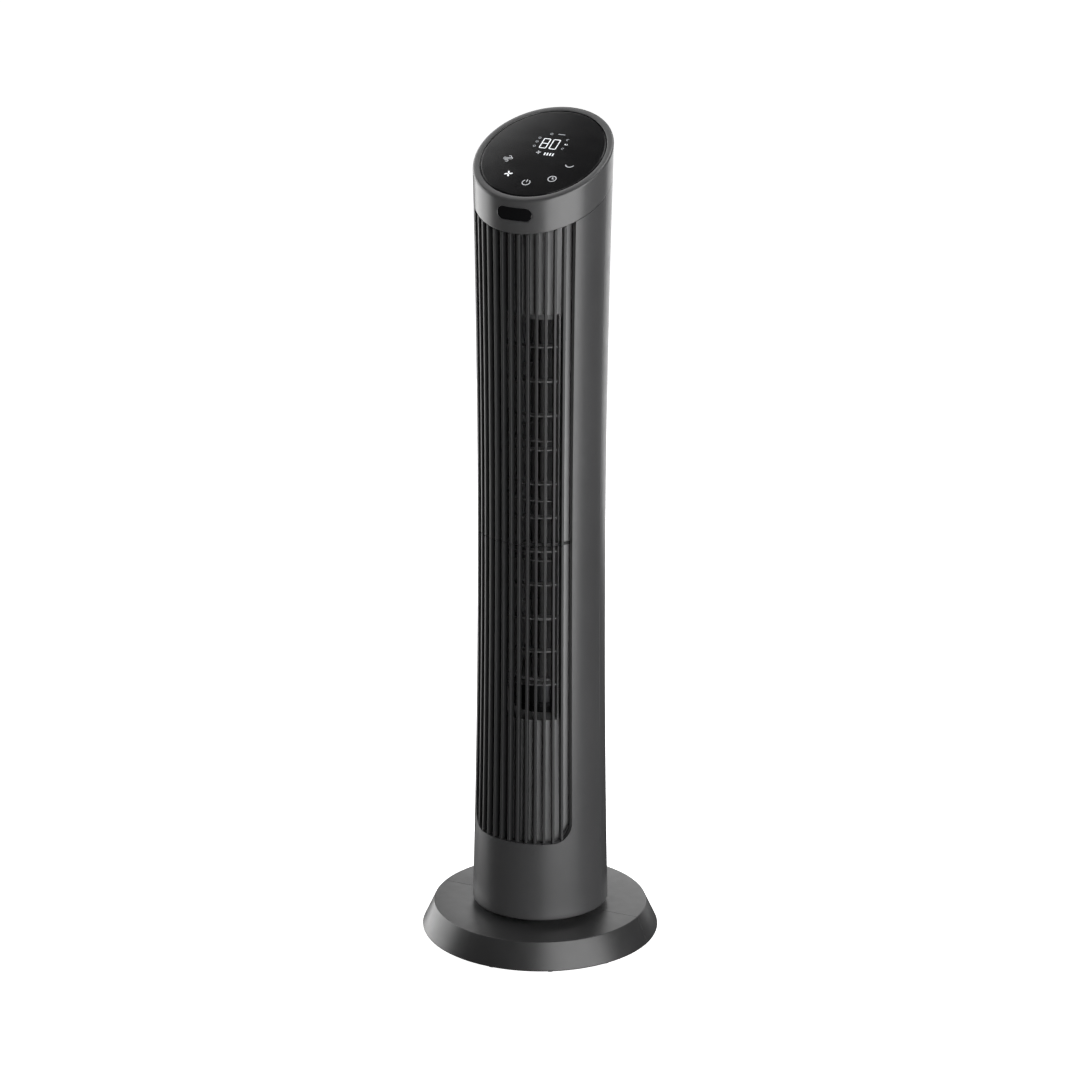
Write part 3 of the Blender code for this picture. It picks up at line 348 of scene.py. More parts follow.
def rounded(profile, roundings, steps=4):
    """A profile with the named corners filleted. roundings maps a point's index to a radius."""
    result = []
    size = len(profile)
    for index, point in enumerate(profile):
        radius = roundings.get(index)
        if radius is None:
            result.append(point)
            continue
        here = Vector(point)
        before = (Vector(profile[index - 1]) - here).normalized()
        after = (Vector(profile[(index + 1) % size]) - here).normalized()
        half = before.angle(after) / 2
        tangent = radius / math.tan(half)
        centre = here + (before + after).normalized() * (radius / math.sin(half))
        first = here + before * tangent - centre
        last = here + after * tangent - centre
        for share in spread(0.0, 1.0, steps):
            swung = first.lerp(last, share).normalized() * radius
            result.append(tuple(centre + swung))
    return result


def add_piece(name, shape, look, body, node=None, bevel=0.0, segments=2):
    """Make a piece that rides a body and stands for a node."""
    bmesh.ops.remove_doubles(shape, verts=shape.verts, dist=1e-6)
    loose = [edge for edge in shape.edges if edge.is_wire]
    bmesh.ops.delete(shape, geom=loose, context="EDGES")
    bmesh.ops.recalc_face_normals(shape, faces=shape.faces)
    mesh = bpy.data.meshes.new(name)
    shape.to_mesh(mesh)
    shape.free()
    mesh.shade_smooth()
    mesh.set_sharp_from_angle(angle=SHARP_FROM)
    mesh.materials.append(finish(look))
    obj = bpy.data.objects.new(name, mesh)
    bpy.context.scene.collection.objects.link(obj)
    if bevel:
        soften(obj, bevel, segments)
    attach(obj, body)
    if node:
        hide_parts(node)
    return obj


def soften(obj, width, segments=2):
    """Round the sharp edges of an object."""
    modifier = obj.modifiers.new("soft_edges", "BEVEL")
    modifier.width = width
    modifier.segments = segments
    modifier.limit_method = "ANGLE"
    modifier.angle_limit = ROUNDED_FROM
    modifier.harden_normals = True
    modifier.use_clamp_overlap = True


# ---- the column's skin


def skin_radius(height):
    """The column's outer radius: a shallow arc, narrowest at the waist."""
    return WAIST_RADIUS + (height - WAIST_HEIGHT) ** 2 / (2 * ARC_RADIUS)


TOP_LEVEL = HEIGHT - skin_radius(HEIGHT) * math.tan(SLANT)
SEAM_LEVEL = TOP_LEVEL - HEAD_DEPTH


def slanted_height(level, angle, inset=0.0):
    """Where a slanted plane, at this level on the axis, meets the skin or a surface inside it."""
    height = level
    for _ in range(6):
        height = level - (skin_radius(height) - inset) * math.cos(angle) * math.tan(SLANT)
    return height


def rounded_rise(angle, half_angle, corner):
    """How far an opening's edge has risen at this angle, in a quarter circle at its side."""
    run = max(0.0, (half_angle - abs(angle)) * WAIST_RADIUS)
    reach = max(0.0, corner - run)
    return corner - math.sqrt(max(0.0, corner**2 - reach**2))


def opening_floor(angle, inset):
    """The row along the outlet's lower edge."""
    return OPENING_BOTTOM + rounded_rise(angle, OPENING_ANGLE, OPENING_CORNER)


def bottom_rounding(height):
    """How far the skin draws in where the column's bottom edge is rounded."""
    rise = max(0.0, COLUMN_BOTTOM + BOTTOM_ROUNDING - height)
    return BOTTOM_ROUNDING - math.sqrt(max(0.0, BOTTOM_ROUNDING**2 - rise**2))


def skin_lattice(angles, rows, insets, is_filled, facing=0.0):
    """A lattice that follows the skin. Each row gives a height for an angle and an inset."""

    def corner(i, j, k):
        height = rows[j](angles[i], insets[k])
        inset = max(insets[k], bottom_rounding(height))
        return polar(angles[i] + facing, skin_radius(height) - inset, height)

    counts = (len(angles) - 1, len(rows) - 1, len(insets) - 1)
    return lattice(counts, is_filled, corner)


def level_row(height):
    return lambda angle, inset: height


def shifted(row, amount):
    return lambda angle, inset: row(angle, inset) + amount


def rows_between(lower, upper, steps):
    """The rows strictly between two others, evenly spaced at each angle."""

    def row(share):
        return lambda angle, inset: (
            lower(angle, inset) * (1 - share) + upper(angle, inset) * share
        )

    return [row(step / steps) for step in range(1, steps)]


def seam_row(clearance, facing=0.0):
    """The row along the head's lower seam, a little below it."""
    return lambda angle, inset: slanted_height(SEAM_LEVEL - clearance, angle + facing, inset)


def shell_angles(half_angle, corner, return_width=0.0):
    """Angles across half the column, with a fine step round an opening's corners."""
    side = math.pi / 2 - SEAM_GAP / (2 * WAIST_RADIUS)
    turn = half_angle - corner / WAIST_RADIUS
    steps = spread(0.0, math.pi / 2, 12)
    arc = [half_angle - (half_angle - turn) * (1 - math.cos(step)) for step in steps]
    outside = spread(side, half_angle + return_width / WAIST_RADIUS, 16)
    right = (outside if return_width else outside[:-1]) + arc[:-1]
    left = [-angle for angle in right]
    return left + spread(-turn, turn, 24) + right[::-1]


# ---- finishes


class Graph:
    """A short way to write a material's node graph."""

    def __init__(self, name):
        self.material = bpy.data.materials.new(name)
        self.material.use_nodes = True
        self.tree = self.material.node_tree
        self.shader = self.tree.nodes["Principled BSDF"]
        self.place = self.node("ShaderNodeTexCoord").outputs["Object"]

    def node(self, kind, settings=None, **inputs):
        made = self.tree.nodes.new(kind)
        for key, value in (settings or {}).items():
            setattr(made, key, value)
        for key, value in inputs.items():
            self.feed(made.inputs[key.replace("_", " ")], value)
        return made

    def feed(self, socket, value):
        if isinstance(value, bpy.types.NodeSocket):
            self.tree.links.new(value, socket)
        else:
            socket.default_value = value

    def set(self, **inputs):
        for key, value in inputs.items():
            self.feed(self.shader.inputs[key.replace("_", " ")], value)

    def noise(self, scale, detail=3.0, roughness=0.5, stretch=(1.0, 1.0, 1.0)):
        """Noise with about this many features in a metre, from 0 to 1."""
        mapping = self.node("ShaderNodeMapping", Vector=self.place, Scale=stretch)
        place = mapping.outputs["Vector"]
        kind = "ShaderNodeTexNoise"
        made = self.node(kind, Vector=place, Scale=scale, Detail=detail, Roughness=roughness)
        return made.outputs["Fac"]

    def remap(self, value, low, high, to_low, to_high):
        ends = {"From_Min": low, "From_Max": high, "To_Min": to_low, "To_Max": to_high}
        made = self.node("ShaderNodeMapRange", {"clamp": True}, Value=value, **ends)
        return made.outputs["Result"]

    def math(self, operation, first, second):
        made = self.node("ShaderNodeMath", {"operation": operation})
        self.feed(made.inputs[0], first)
        self.feed(made.inputs[1], second)
        return made.outputs["Value"]

    def mix(self, factor, first, second):
        made = self.node("ShaderNodeMix", {"data_type": "RGBA"})
        self.feed(made.inputs[0], factor)
        self.feed(made.inputs[6], first)
        self.feed(made.inputs[7], second)
        return made.outputs[2]

    def blend(self, value, low, high, first, second):
        """A colour that goes from the first to the second as the value goes from low to high."""
        return self.mix(self.remap(value, low, high, 0.0, 1.0), first, second)

    def edges(self, radius):
        """1 on the object's edges, 0 away from them."""
        bevel = self.node("ShaderNodeBevel", {"samples": 4}, Radius=radius)
        facing = self.node("ShaderNodeVectorMath", {"operation": "DOT_PRODUCT"})
        self.feed(facing.inputs[0], bevel.outputs["Normal"])
        self.feed(facing.inputs[1], self.node("ShaderNodeNewGeometry").outputs["Normal"])
        return self.remap(facing.outputs["Value"], 0.99, 0.86, 0.0, 1.0)

    def bump(self, height, strength, distance, under=None):
        made = self.node("ShaderNodeBump", Strength=strength, Distance=distance, Height=height)
        if under is not None:
            self.feed(made.inputs["Normal"], under)
        return made.outputs["Normal"]


def shade(colour, factor):
    return (*(channel * factor for channel in colour), 1.0)


def moulded_plastic(graph, colour, roughness, grain=0.10, edge_wear_and_highlight=0.25, shine=0.5):
    """Satin moulded plastic: fine eroded grain, faint flow marks, and edges painted lighter. The lighter
    edges are a little rubbing wear, and a painted highlight where the lightening is strong.
    """
    broad = graph.noise(9.0, 4.0)
    patches = graph.noise(70.0, 3.0)
    tone = graph.blend(broad, 0.3, 0.7, shade(colour, 0.93), shade(colour, 1.07))
    # Edges are painted lighter. This is rubbing wear, and where the strength is high, as on the inner
    # plastic, it is a painted highlight along them.
    wear_and_highlight_strength = graph.remap(patches, 0.35, 0.6, 0.3 * edge_wear_and_highlight, edge_wear_and_highlight)
    wear_and_highlight_edges = graph.math("MULTIPLY", graph.edges(0.0009), wear_and_highlight_strength)
    graph.set(Base_Color=graph.mix(wear_and_highlight_edges, tone, shade(colour, 1.6)))
    uneven = graph.remap(patches, 0.3, 0.7, roughness - 0.025, roughness + 0.025)
    graph.set(Roughness=graph.math("SUBTRACT", uneven, graph.math("MULTIPLY", wear_and_highlight_edges, 0.06)))
    eroded = graph.bump(graph.noise(1600.0, 2.0), grain, 0.00010)
    graph.set(Normal=graph.bump(patches, 0.03, 0.0004, eroded), Specular_IOR_Level=shine)


def gloss_plastic(graph, colour, roughness, smudges):
    """Polished black plastic with a faint film of wiping marks and a few specks of dust."""
    film = graph.noise(26.0, 5.0, 0.6, (1.0, 2.2, 1.0))
    specks = graph.remap(graph.noise(900.0, 1.0), 0.74, 0.80, 0.0, 0.5)
    graph.set(Base_Color=graph.mix(specks, shade(colour, 1.0), shade(colour, 8.0)))
    graph.set(Roughness=graph.remap(film, 0.35, 0.75, roughness, roughness + smudges))
    graph.set(Normal=graph.bump(graph.noise(14.0, 2.0), 0.02, 0.0006))


def rubber(graph, colour):
    """Matt rubber with a chalky bloom in its hollows."""
    bloom = graph.noise(180.0, 4.0)
    graph.set(Base_Color=graph.blend(bloom, 0.45, 0.7, shade(colour, 1.0), shade(colour, 2.2)))
    graph.set(Roughness=graph.remap(bloom, 0.3, 0.7, 0.72, 0.90))
    graph.set(Normal=graph.bump(graph.noise(1400.0, 2.0), 0.25, 0.00015))


def metal(graph, colour, roughness):
    """Machined metal: fine tool marks, uneven sheen and a darker tarnish in patches."""
    marks = graph.noise(420.0, 3.0, 0.6, (1.0, 1.0, 12.0))
    patches = graph.noise(45.0, 4.0)
    graph.set(Base_Color=graph.blend(patches, 0.4, 0.7, shade(colour, 1.0), shade(colour, 0.7)))
    graph.set(Metallic=1.0)
    graph.set(Roughness=graph.remap(marks, 0.3, 0.7, roughness - 0.08, roughness + 0.10))
    graph.set(Normal=graph.bump(marks, 0.10, 0.00012))


def nylon(graph, colour):
    """Milky nylon, slightly translucent, with a trace of grease."""
    grease = graph.noise(90.0, 3.0)
    graph.set(Base_Color=graph.blend(grease, 0.4, 0.7, shade(colour, 1.0), shade(colour, 0.82)))
    graph.set(Roughness=graph.remap(grease, 0.35, 0.65, 0.42, 0.25))
    graph.set(Subsurface_Weight=0.08, Subsurface_Radius=(0.002, 0.0018, 0.0014))
    graph.set(Normal=graph.bump(graph.noise(900.0, 2.0), 0.08, 0.0001))


def circuit_board(graph, colour):
    """Solder mask with the copper's relief showing through as straight tracks."""
    tracks = graph.node("ShaderNodeTexBrick", Vector=graph.place, Scale=260.0).outputs["Fac"]
    patches = graph.noise(120.0, 2.0)
    tone = graph.mix(tracks, shade(colour, 0.8), shade(colour, 1.5))
    graph.set(Base_Color=graph.mix(graph.remap(patches, 0.3, 0.7, 0.0, 0.4), tone, shade(colour, 0.6)))
    graph.set(Roughness=graph.remap(patches, 0.3, 0.7, 0.30, 0.42))
    graph.set(Normal=graph.bump(tracks, 0.3, 0.00006))


def lit_mark(graph, colour, strength):
    """A mark lit from behind, a little uneven as light guides are."""
    uneven = graph.remap(graph.noise(160.0, 2.0), 0.3, 0.7, 0.85, 1.1)
    graph.set(Base_Color=graph.mix(uneven, shade(colour, 0.22), shade(colour, 0.26)))
    graph.set(Emission_Color=(*colour, 1.0))
    graph.set(Emission_Strength=graph.math("MULTIPLY", uneven, strength))
    graph.set(Roughness=graph.remap(graph.noise(60.0, 2.0), 0.3, 0.7, 0.25, 0.40))


# The maker of each finish, its colour and the other values that its maker takes.
FINISHES = {
    "shell": (moulded_plastic, (0.0395, 0.0395, 0.0404), 0.33),
    "rim": (moulded_plastic, (0.0480, 0.0480, 0.0488), 0.31, 0.07, 0.1),
    "base_plastic": (moulded_plastic, (0.0190, 0.0190, 0.0194), 0.36, 0.10, 0.05),
    "grille_plastic": (moulded_plastic, (0.0250, 0.0250, 0.0256), 0.38, 0.10, 0.25, 0.22),
    # The inner plastic is painted far lighter than the dark plastic it is, as painted light on the wall
    # between the ribs. Its strong edge lightening is a painted highlight on the slats and sill.
    "inner_plastic": (moulded_plastic, (0.1750, 0.1750, 0.1770), 0.44, 0.10, 0.8),
    "impeller_plastic": (moulded_plastic, (0.1200, 0.1200, 0.1220), 0.36),
    "panel": (gloss_plastic, (0.0040, 0.0040, 0.0045), 0.12, 0.02),
    "window": (gloss_plastic, (0.0030, 0.0030, 0.0034), 0.10, 0.06),
    "foot_rubber": (rubber, (0.010, 0.010, 0.010)),
    "bearing_rubber": (rubber, (0.014, 0.014, 0.014)),
    "gland_rubber": (rubber, (0.012, 0.012, 0.012)),
    "steel": (metal, (0.56, 0.56, 0.57), 0.30),
    "motor_steel": (metal, (0.055, 0.055, 0.058), 0.36),
    "bronze": (metal, (0.43, 0.30, 0.15), 0.32),
    "nylon": (nylon, (0.70, 0.69, 0.65)),
    "board": (circuit_board, (0.010, 0.070, 0.032)),
    "digit_light": (lit_mark, (0.94, 0.97, 1.0), 1.0),
    "icon_light": (lit_mark, (0.86, 0.88, 0.92), 0.50),
    "sign_light": (lit_mark, (0.80, 0.84, 0.90), 0.24),
}


def finish(name):
    """The detailed material of this name, made when it is first asked for."""
    label = f"{name}_finish"
    if label not in bpy.data.materials:
        maker, *values = FINISHES[name]
        maker(Graph(label), *values)
    return bpy.data.materials[label]


def dress_cad_nodes():
    """Give every CAD node that stays visible its slot's finish and slightly rounded edges."""
    for subpart in frame["record"]["subparts"]:
        node = frame["nodes"][subpart["node"]]
        if node.hide_render:
            continue
        node.data.materials.clear()
        node.data.materials.append(finish(subpart["material_slot"]))
        soften(node, CAD_EDGE)


# ---- shells and grilles


def skirt_rows(levels):
    """The rows of the rounded bottom edge, and level ones above it."""
    rounding = spread(COLUMN_BOTTOM, COLUMN_BOTTOM + BOTTOM_ROUNDING, 5)
    return [level_row(height) for height in (*rounding, *levels)]


def front_shell():
    """The front half, whose opening has an edge that is turned inwards all round."""
    angles = shell_angles(OPENING_ANGLE, OPENING_CORNER, RETURN_WIDTH)
    return_angle = OPENING_ANGLE + RETURN_WIDTH / WAIST_RADIUS

    lip = shifted(opening_floor, -RETURN_WIDTH)
    top = seam_row(SEAM_GAP)
    rows = skirt_rows(FRONT_SKIRT_LEVELS)
    first_lip = len(rows) + 3
    rows += [*rows_between(rows[-1], lip, 4), lip, opening_floor]
    rows += [*rows_between(opening_floor, top, 40), top]

    def is_filled(i, j, k):
        middle = abs(angles[i] + angles[i + 1]) / 2
        if k == 0:
            at_side = OPENING_ANGLE < middle < return_angle
            return (j >= first_lip and at_side) or (j == first_lip and middle < OPENING_ANGLE)
        return j <= first_lip or middle > OPENING_ANGLE

    shape = skin_lattice(angles, rows, (RETURN_DEPTH, WALL, 0.0), is_filled)
    add_piece("shell_front", shape, "shell", "column", "front_shell", bevel=SHELL_EDGE)


def intake_edges(half_angle):
    """The rows along the lower and upper edges of the intake, or of the grille in it."""

    def bottom(angle, inset):
        return INTAKE_BOTTOM + rounded_rise(angle, half_angle, INTAKE_CORNER)

    def top(angle, inset):
        return INTAKE_TOP - rounded_rise(angle, half_angle, INTAKE_CORNER)

    return bottom, top


def rear_shell():
    """The rear half. Its angles are counted from the back."""
    angles = shell_angles(INTAKE_ANGLE, INTAKE_CORNER)
    bottom, top = intake_edges(INTAKE_ANGLE)
    rows = skirt_rows(REAR_SKIRT_LEVELS)
    rows += rows_between(rows[-1], bottom, 4)
    open_from = len(rows)
    rows += [bottom, *rows_between(bottom, top, 36)]
    open_to = len(rows)
    seam = seam_row(SEAM_GAP, math.pi)
    rows += [top, *rows_between(top, seam, 4), seam]

    def is_filled(i, j, k):
        middle = abs(angles[i] + angles[i + 1]) / 2
        return not open_from <= j < open_to or middle > INTAKE_ANGLE

    shape = skin_lattice(angles, rows, (WALL, 0.0), is_filled, facing=math.pi)
    add_piece("shell_rear", shape, "shell", "column", "rear_shell", bevel=SHELL_EDGE)


def rib_angles(count):
    """The edges of a row of evenly pitched ribs, left to right."""
    half_width = RIB_WIDTH / WAIST_RADIUS / 2
    first = -RIB_PITCH * (count - 1) / 2
    edges = []
    for index in range(count):
        middle = first + RIB_PITCH * index
        edges += [middle - half_width, middle + half_width]
    return edges


def grille(name, node, rows, first_rib_row):
    """Ribs at the full depth, joined at both ends by ties that lie behind their faces."""
    angles = [-TIE_ANGLE, *rib_angles(RIB_COUNT), TIE_ANGLE]
    last = len(rows) - 2

    def is_filled(i, j, k):
        is_rib = i % 2 == 1
        if k == 0:
            return is_rib or j in (0, last)
        return is_rib and j >= first_rib_row

    shape = skin_lattice(angles, rows, (RIB_DEPTH, TIE_INSET, 0.0), is_filled)
    add_piece(name, shape, "grille_plastic", "column", node, bevel=RIB_EDGE, segments=4)


def lower_grille():
    foot = shifted(opening_floor, RIB_FOOT_GAP)
    split = GRILLE_SPLIT - SEAM_GAP / 2
    tie = level_row(split - TIE_HEIGHT)
    rows = [level_row(DUCT_BOTTOM), foot, *rows_between(foot, tie, 20), tie, level_row(split)]
    grille("ribs_lower", "grille_lower", rows, 1)


def upper_grille():
    split = GRILLE_SPLIT + SEAM_GAP / 2
    tie = level_row(split + TIE_HEIGHT)
    top_tie = seam_row(2 * SEAM_GAP + TIE_HEIGHT)
    rows = [level_row(split), tie, *rows_between(tie, top_tie, 20), top_tie, seam_row(2 * SEAM_GAP)]
    grille("ribs_upper", "grille_upper", rows, 0)


def intake_grille():
    """A removable grille with its own border, flush in the rear shell."""
    outer = INTAKE_ANGLE - INTAKE_SIDE_GAP / WAIST_RADIUS
    inner = outer - INTAKE_BORDER / WAIST_RADIUS
    angles = [-outer, -inner, *rib_angles(INTAKE_RIBS), inner, outer]
    bottom, top = intake_edges(outer)
    rows = [shifted(bottom, INTAKE_CLEARANCE), shifted(bottom, INTAKE_BORDER)]
    tie_rows = []
    for height in INTAKE_TIES:
        rows += rows_between(rows[-1], level_row(height), 8)
        tie_rows.append(len(rows))
        rows += [level_row(height), level_row(height + INTAKE_TIE_HEIGHT)]
    upper = shifted(top, -INTAKE_BORDER)
    rows += [*rows_between(rows[-1], upper, 8), upper, shifted(top, -INTAKE_CLEARANCE)]
    last = len(rows) - 2

    def is_filled(i, j, k):
        border = i in (0, len(angles) - 2) or j in (0, last)
        return border or i % 2 == 0 or (j in tie_rows and k == 0)

    shape = skin_lattice(angles, rows, INTAKE_GRILLE_DEPTHS, is_filled, facing=math.pi)
    add_piece("ribs_intake", shape, "grille_plastic", "column", "intake_grille", bevel=INTAKE_EDGE)


# ---- the head


def plane_point(angle, level, inset):
    """A point on a plane parallel to the slanted top, at an inset from the skin."""
    height = slanted_height(level, angle, inset)
    return polar(angle, skin_radius(height) - inset, height)


def quarter(radius, steps):
    """Pairs (down, in) that round an edge between an upright face and a level one."""
    turns = spread(0.0, math.pi / 2, steps)
    return [(radius * (1 - math.sin(turn)), radius * (1 - math.cos(turn))) for turn in turns]


def head_outline(angle):
    """Section of the head ring at one angle: skin, rounded rim, panel seat and inner wall."""

    def on_skin(level, inset):
        return plane_point(angle, level, inset)

    outer = [on_skin(TOP_LEVEL - down, inset) for down, inset in quarter(RIM_FILLET, 6)]
    inner = [
        on_skin(TOP_LEVEL - down, RIM_WIDTH - inset)
        for down, inset in reversed(quarter(RIM_INNER_FILLET, 4))
    ]
    lower = [on_skin(SEAM_LEVEL + down, inset) for down, inset in reversed(quarter(HEAD_EDGE, 3))]
    flank_levels = spread(SEAM_LEVEL + HEAD_FLANK_START, TOP_LEVEL - HEAD_FLANK_END, 12)
    flank = [on_skin(level, 0.0) for level in flank_levels]
    seat = TOP_LEVEL - PANEL_SEAT
    shelf_bottom = seat - PANEL_SHELF_THICKNESS
    return [
        *lower,
        *flank,
        *outer,
        *inner,
        on_skin(seat, RIM_WIDTH),
        on_skin(seat, RIM_WIDTH + PANEL_SHELF_WIDTH),
        on_skin(shelf_bottom, RIM_WIDTH + PANEL_SHELF_WIDTH),
        on_skin(shelf_bottom, WALL),
        on_skin(SEAM_LEVEL, WALL),
    ]


def pill_shape(grow, inner_inset, outer_inset):
    """A pill that follows the skin at the front of the head."""
    radius = skin_radius(WINDOW_LEVEL)
    half_height = WINDOW_HEIGHT / 2 + grow
    half_width = WINDOW_WIDTH / 2 + grow
    ends = [half_width - half_height * (1 - math.cos(turn)) for turn in spread(0.0, math.pi / 2, 12)]
    straight = spread(-ends[-1], ends[-1], 16)
    places = [-place for place in ends[:-1]] + straight + ends[:-1][::-1]

    def corner(i, j, k):
        past = max(0.0, abs(places[i]) - (half_width - half_height))
        reach = math.sqrt(max(0.0, half_height**2 - past**2))
        height = WINDOW_LEVEL + (reach if j else -reach)
        inset = outer_inset if k else inner_inset
        return polar(places[i] / radius, skin_radius(height) - inset, height)

    return lattice((len(places) - 1, 1, 1), lambda i, j, k: True, corner)


def head_ring():
    """The ring under the panel, with the hole for the receiver window."""
    ring = add_piece("rim_ring", ring_loft(head_outline, 192), "rim", "column", "head_ring")
    hole = pill_shape(SEAM_GAP, WINDOW_CUT_REACH, -WINDOW_CUT_REACH)
    cutter = add_piece("window_cutter", hole, "rim", "column")
    cutter.hide_render = True
    cutter.hide_viewport = True
    cut = ring.modifiers.new("window", "BOOLEAN")
    cut.operation = "DIFFERENCE"
    cut.solver = "EXACT"
    cut.object = cutter


def receiver_window():
    """The glossy pill that the remote control's receiver looks through."""
    shape = pill_shape(0.0, WINDOW_DEPTH, WINDOW_RECESS)
    add_piece("window_pill", shape, "window", "column", "receiver_window", bevel=WINDOW_EDGE)


def touch_panel():
    """The glossy plate inside the rim. A groove runs round it, within a thin lip along the rim."""
    lip = RIM_WIDTH + SEAM_GAP
    groove = lip + PANEL_LIP
    inset = groove + PANEL_GROOVE
    top = TOP_LEVEL - PANEL_RECESS
    edge = [(top - down, inset + extra) for down, extra in quarter(PANEL_FILLET, 4)]
    levels = [
        (top - PANEL_THICKNESS, lip),
        (top - PANEL_FILLET, lip),
        (top - PANEL_FILLET, groove),
        (top - PANEL_GROOVE_DEPTH, groove),
        (top - PANEL_GROOVE_DEPTH, inset),
        *edge,
        (top, inset + 2 * PANEL_FILLET),
    ]
    angles = spread(0.0, FULL_TURN, 192)[:-1]
    shape = bmesh.new()
    rings = []
    for level, depth in levels:
        rings.append([shape.verts.new(plane_point(angle, level, depth)) for angle in angles])
    join_rings(shape, rings)
    add_piece("panel_plate", shape, "panel", "column", "touch_panel")


# ---- marks on the panel


def on_panel(across, along, lift):
    """A point over the panel. across is to the right and along is up the slope, from its middle."""
    right = Vector((1.0, 0.0, 0.0))
    up_slope = Vector((0.0, math.cos(SLANT), math.sin(SLANT)))
    out = Vector((0.0, -math.sin(SLANT), math.cos(SLANT)))
    middle = Vector((0.0, 0.0, TOP_LEVEL - PANEL_RECESS))
    return middle + right * across * MM + up_slope * along * MM + out * lift


def arc(centre, radius, start, end, steps=20):
    """Points of an arc in millimetres. Angles in degrees, counted from the right, anticlockwise."""
    turns = [math.radians(angle) for angle in spread(start, end, steps)]
    return [(centre[0] + radius * math.cos(turn), centre[1] + radius * math.sin(turn)) for turn in turns]


def ribbon(shape, points, width, closed=False):
    """A thin raised line along the points, with mitred corners."""
    count = len(points)
    sides = []
    for index, point in enumerate(points):
        here = Vector(point)
        before = Vector(points[index - 1]) if closed or index else here
        after = Vector(points[(index + 1) % count]) if closed or index < count - 1 else here
        along_in = (here - before).normalized() if (here - before).length else None
        along_out = (after - here).normalized() if (after - here).length else None
        along = ((along_in or along_out) + (along_out or along_in)).normalized()
        normal = Vector((-along.y, along.x))
        facing = Vector((-(along_in or along_out).y, (along_in or along_out).x))
        reach = width / 2 / max(MITRE_LIMIT, normal.dot(facing))
        sides.append((here + normal * reach, here - normal * reach))
    rings = []
    low, high = MARK_LIFTS
    for left, right in sides:
        corners = ((left, low), (left, high), (right, high), (right, low))
        rings.append([shape.verts.new(on_panel(place.x, place.y, lift)) for place, lift in corners])
    join_rings(shape, rings, closed)


def digit_shape(shape, corner, bars):
    """One figure of the number display, drawn as the bars that are lit."""
    cell = Vector((DIGIT_WIDTH, DIGIT_HEIGHT / 2))
    for bar in bars:
        start, end = (Vector(corner) + Vector(place) * cell for place in bar)
        gap = (end - start).normalized() * DIGIT_GAP
        ribbon(shape, [start + gap, end - gap], DIGIT_STROKE)


def raised(shape, outline):
    """A thin raised patch with this outline."""
    rings = []
    for lift in MARK_LIFTS:
        rings.append([shape.verts.new(on_panel(across, along, lift)) for across, along in outline])
    join_rings(shape, rings)


def fan_icon(shape, centre, size):
    """Four swept petals round a middle."""
    across, along = centre
    for petal in range(4):
        turn = FAN_TURN + petal * math.pi / 2
        outline = []
        for step in spread(0.0, FULL_TURN, 16)[:-1]:
            out = size * (0.56 - 0.44 * math.cos(step))
            aside = size * 0.21 * math.sin(step) + 0.10 * out * (1 - math.cos(step))
            outline.append((
                across + out * math.cos(turn) - aside * math.sin(turn),
                along + out * math.sin(turn) + aside * math.cos(turn),
            ))
        raised(shape, outline)


def power_icon(shape, centre, size):
    """A ring that is open at the top, with a stroke in the opening."""
    across, along = centre
    ribbon(shape, arc(centre, size, 125.0, 415.0), MARK_STROKE)
    ribbon(shape, [(across, along + 0.15 * size), (across, along + 1.15 * size)], MARK_STROKE)


def clock_icon(shape, centre, size):
    across, along = centre
    ribbon(shape, arc(centre, size, 0.0, 342.0, 19), MARK_STROKE, closed=True)
    hands = [(across, along + 0.62 * size), (across, along), (across + 0.5 * size, along)]
    ribbon(shape, hands, MARK_STROKE)


def breeze_icon(shape, centre, size):
    """Three gusts, each a stroke with a curl at its end."""
    across, along = centre
    for level, start, end, curl in GUSTS:
        middle = (across + end * size, along + (level + curl) * size)
        first, last = (-90.0, 150.0) if curl > 0 else (90.0, -150.0)
        points = arc(middle, abs(curl) * size, first, last, 12)
        ribbon(shape, [(across + start * size, along + level * size), *points], BREEZE_STROKE)


def speaker_sign(shape, centre, size):
    across, along = centre
    front = across + 0.4 * size
    raised(shape, [(across - size, along), (front, along - size), (front, along + size)])
    ribbon(shape, arc((front, along), 1.3 * size, -45.0, 45.0, 6), 0.35 * size)


def number_display():
    """The lit number with level bars under it, the speaker sign and the lit fan mark."""
    shape = bmesh.new()
    for corner, bars in DIGITS:
        digit_shape(shape, corner, bars)
    for index in range(BAR_COUNT):
        across, along = BAR_START
        across += BAR_PITCH * index
        ribbon(shape, [(across, along), (across, along + BAR_HEIGHT)], BAR_WIDTH)
    fan_icon(shape, *LIT_FAN)
    speaker_sign(shape, *SPEAKER)
    add_piece("panel_digits", shape, "digit_light", "column")


def touch_icons():
    """The touch marks round the lower edge and under the number, which are dimmer than it."""
    shape = bmesh.new()
    breeze_icon(shape, *BREEZE)
    power_icon(shape, *POWER)
    clock_icon(shape, *CLOCK)
    ribbon(shape, arc(*SMILE, 200.0, 340.0, 14), SMILE_STROKE)
    fan_icon(shape, *SMALL_FAN)
    add_piece("panel_icons", shape, "icon_light", "column")


def small_signs():
    """The dim signs round the number."""
    shape = bmesh.new()
    for centre in ROUND_SIGNS:
        ribbon(shape, arc(centre, SIGN_RADIUS, 0.0, 330.0, 11), SIGN_STROKE, closed=True)
    for centre in OPEN_SIGNS:
        ribbon(shape, arc(centre, SIGN_RADIUS, 30.0, 300.0, 9), SIGN_STROKE)
    ribbon(shape, DASH, DASH_STROKE)
    add_piece("panel_signs", shape, "sign_light", "column")


# ---- the air path


